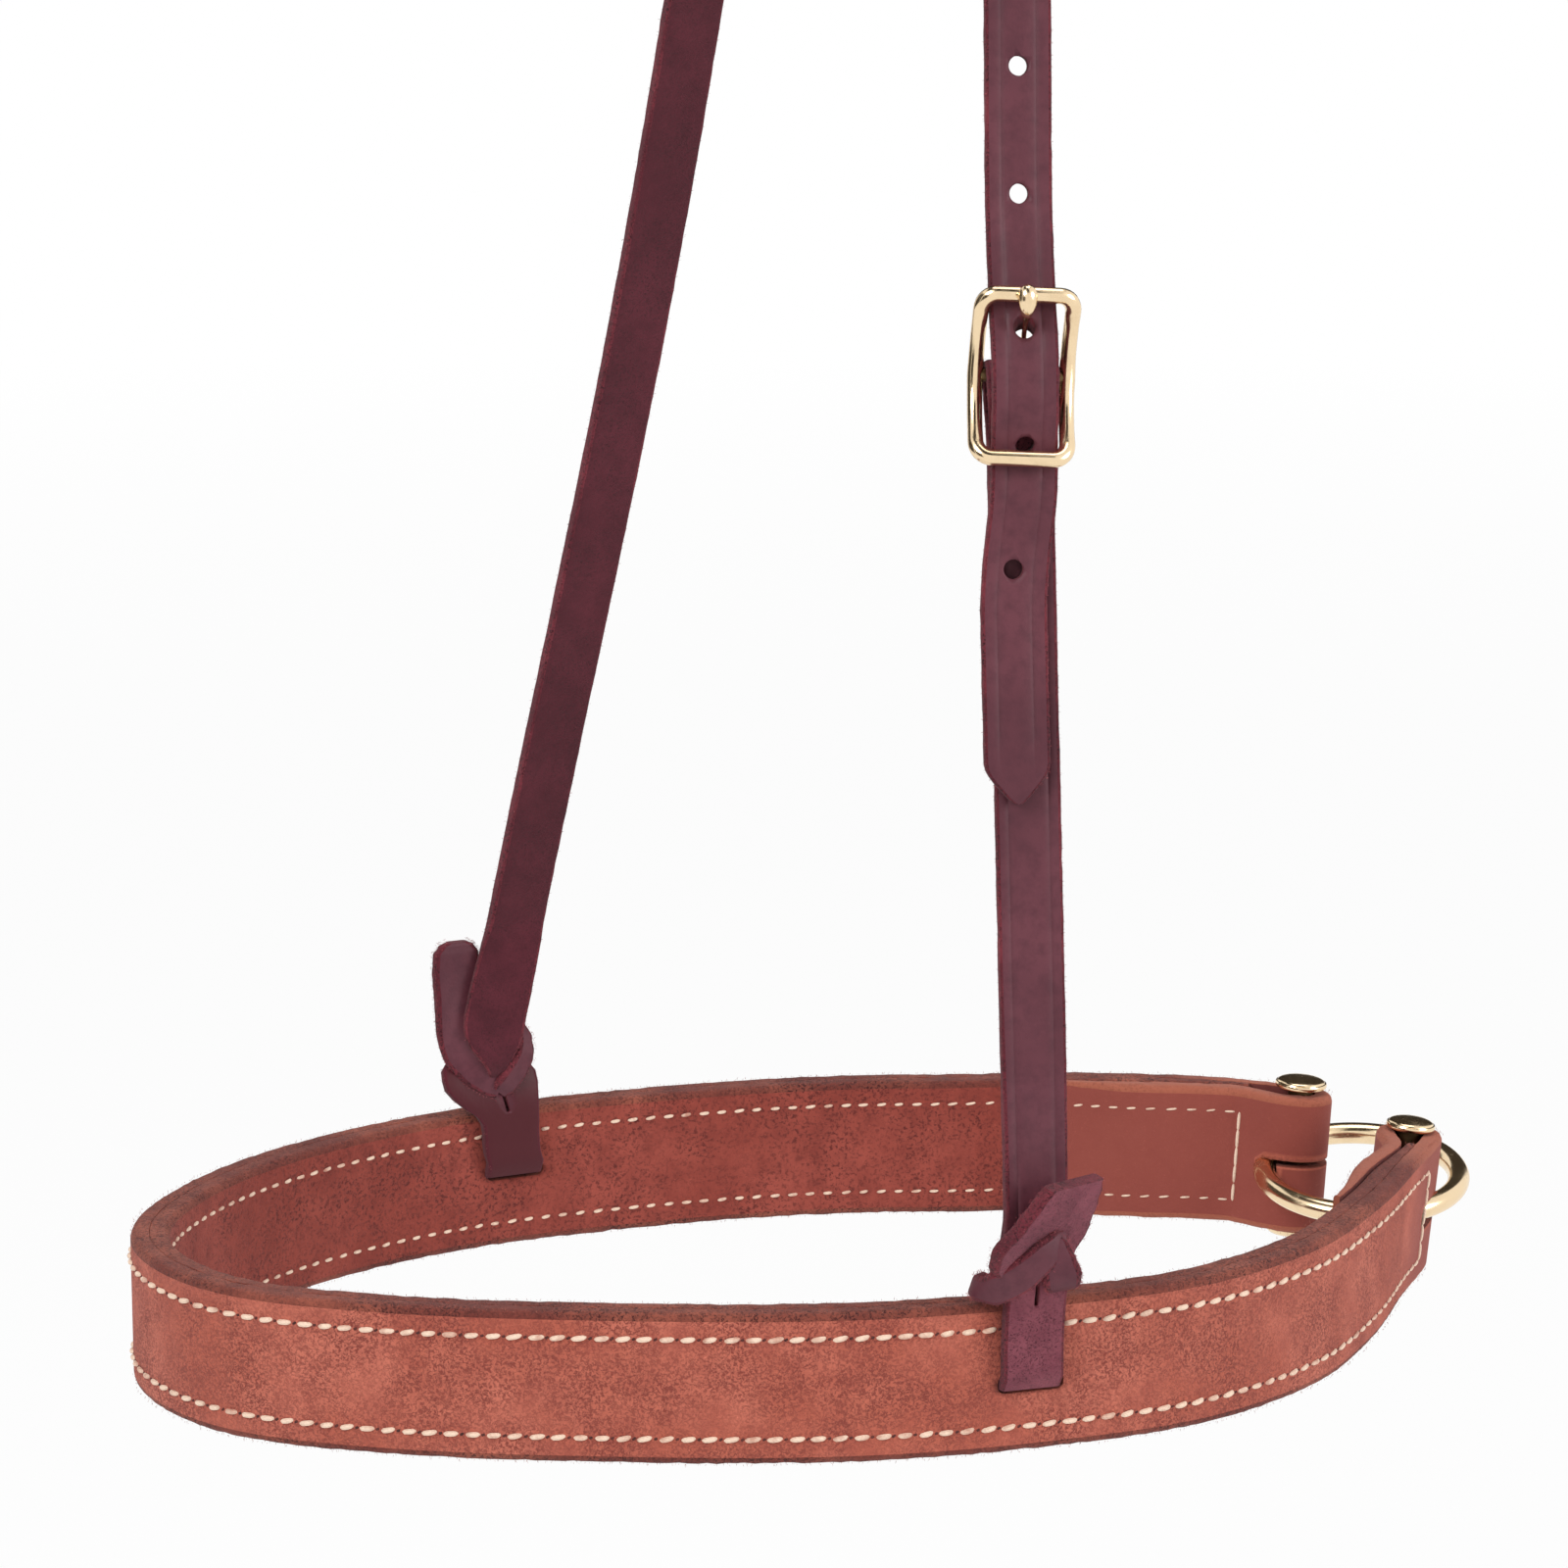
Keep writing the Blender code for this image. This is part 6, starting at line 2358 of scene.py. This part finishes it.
@dataclass
class Studio:
    """Pale floor, soft lamps, dark cards for the brass to mirror, and the camera."""

    camera_place: tuple[float, float, float] = (-26.7252, -924.22, -120.32)
    pitch: float = radians(12.2)
    lens: float = 123.75
    floor_drop: float = 0.16
    floor_size: float = 6.0
    floor_grey: Colour = (0.82, 0.82, 0.82)
    card_dark: Colour = (0.05, 0.04, 0.03)
    sky_strength: float = 0.55
    cards: Sequence[tuple[str, tuple[float, float, float], float]] = (
        ("card_back", (0.3, 3.0, 1.3), 1.9), ("card_left", (-1.3, 0.25, -0.15), 0.75),
        ("card_top", (-0.4, 0.3, 3.0), 1.9), ("card_front_left", (-1.0, -0.95, -0.2), 0.45),
        ("card_front_top", (0.2, -2.2, 2.5), 0.9))
    lamps: Sequence[tuple[str, tuple[float, float, float], float, float]] = (
        ("key", (-1.0, -1.1, 0.7), 0.9, 17.0), ("fill", (1.5, -0.75, 0.25), 1.0, 14.5),
        ("top", (0.1, 0.2, 1.4), 1.2, 9.0))

    def camera(self) -> None:
        """The camera at the photograph's angle."""
        data = bpy.data.cameras.new("view")
        data.lens, data.sensor_width, data.clip_start = self.lens, 36.0, 0.02
        data.sensor_fit = "HORIZONTAL"
        item = link("view", data)
        item.location = Vector(self.camera_place) * MM
        item.rotation_euler = (pi / 2 - self.pitch, 0.0, 0.0)
        bpy.context.scene.camera = item

    def pane(self, name: str, size: float, at: Vector, material: Material) -> Object:
        """A flat square that isn't part of the object.

        Args:
            name: name of the square.
            size: half its side.
            at: where it goes.
            material: its finish.

        Returns:
            The square.
        """
        work = bmesh.new()
        bmesh.ops.create_grid(work, x_segments=2, y_segments=2, size=size)
        mesh = bpy.data.meshes.new(name)
        work.to_mesh(mesh)
        work.free()
        mesh.materials.append(material)
        item = link(name, mesh)
        item.location = at
        item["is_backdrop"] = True
        return item

    def floor(self, low: float) -> None:
        """A pale floor under the object, whiter the further away it is.

        Args:
            low: height of the object's foot.
        """
        desk = MaterialDesk("pale_floor")
        self.pane("floor", self.floor_size, UP * (low - self.floor_drop),
                  desk.dress({"Base Color": self.floor_grey, "Roughness": 0.9}))
        where = desk.add("NewGeometry").outputs["Position"]
        away = desk.add("VectorMath", {0: where}, operation="LENGTH").outputs["Value"]
        share = desk.times(seen_directly(desk), desk.span(away, 0.6, 2.6, 0.86, 1.0))
        show_white(desk, "Emission", "Principled BSDF", "Material Output", share)

    def sky(self) -> None:
        """A world that looks white and lights evenly."""
        world = bpy.data.worlds.new("studio")
        bpy.context.scene.world = world
        world.use_nodes = True
        desk = NodeDesk(world.node_tree)
        desk.fill(world.node_tree.nodes["Background"],
                  {"Color": WHITE, "Strength": self.sky_strength})
        show_white(desk, "Background", "Background", "World Output", seen_directly(desk))

    def card(self, name: str, at: Vector, size: float, aim: Vector) -> None:
        """A dark card round the object, seen by reflections only.

        Args:
            name: name of the card.
            at: where it goes.
            size: half its side.
            aim: what it faces.
        """
        item = self.pane(name, size, at, MaterialDesk(name).dress(
            {"Base Color": self.card_dark, "Roughness": 1.0}))
        item.rotation_euler = (aim - at).to_track_quat("-Z", "Y").to_euler()
        item.visible_camera = item.visible_diffuse = item.visible_shadow = False
        item.visible_transmission = False

    def lamp(self, name: str, at: Vector, size: float, power: float, aim: Vector) -> None:
        """One large soft lamp.

        Args:
            name: name of the lamp.
            at: where it goes.
            size: its width in metres.
            power: in watts.
            aim: what it lights.
        """
        data = bpy.data.lights.new(name, "AREA")
        data.shape, data.size, data.energy = "DISK", size, power
        item = link(name, data)
        item.location = at
        item.rotation_euler = (aim - at).to_track_quat("-Z", "Y").to_euler()

    def build(self, bounds: Sequence) -> None:
        """Set the studio up round the object.

        Args:
            bounds: the object's lowest and highest corners.
        """
        low, high = Vector(bounds[0]), Vector(bounds[1])
        middle = (low + high) / 2
        self.camera()
        self.floor(low.z)
        for name, at, size in self.cards:
            self.card(name, Vector(at), size, middle)
        self.sky()
        for name, at, size, power in self.lamps:
            self.lamp(name, Vector(at), size, power, middle)
        bpy.context.scene.view_settings.view_transform = "Standard"


def main() -> None:
    """Build every piece and the studio."""
    logging.basicConfig(level=logging.INFO, format="%(message)s")
    noise.seed_set(NOISE_SEED)
    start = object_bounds()
    wardrobe = Wardrobe()
    band = BandPlan()
    noseband = Noseband(band, wardrobe)
    hanger = HangerPlan()
    made = [noseband.build_outer(), noseband.build_liner(), noseband.build_stitching(),
            TieRing(wardrobe).build()]
    for side, post, head, raised in (("near", band.near, 4.55, 0.6),
                                     ("far", band.far, 4.85, 1.2)):
        made += ScrewPost(side, post, band, wardrobe, head, raised).build()
    made += [CheekStrap(hanger, wardrobe).build(), CrownStrap(hanger, wardrobe).build(),
             BleedKnot(NEAR_TIE, wardrobe, NEAR_STRANDS, 50).build(),
             BleedKnot(FAR_TIE, wardrobe, FAR_STRANDS, 60).build()]
    made += Buckle(hanger, wardrobe).build()
    for piece in made:
        LOG.info("%s: %d faces", piece.name, len(piece.data.polygons))
    Studio().build(start)


if __name__ == "__main__":
    main()
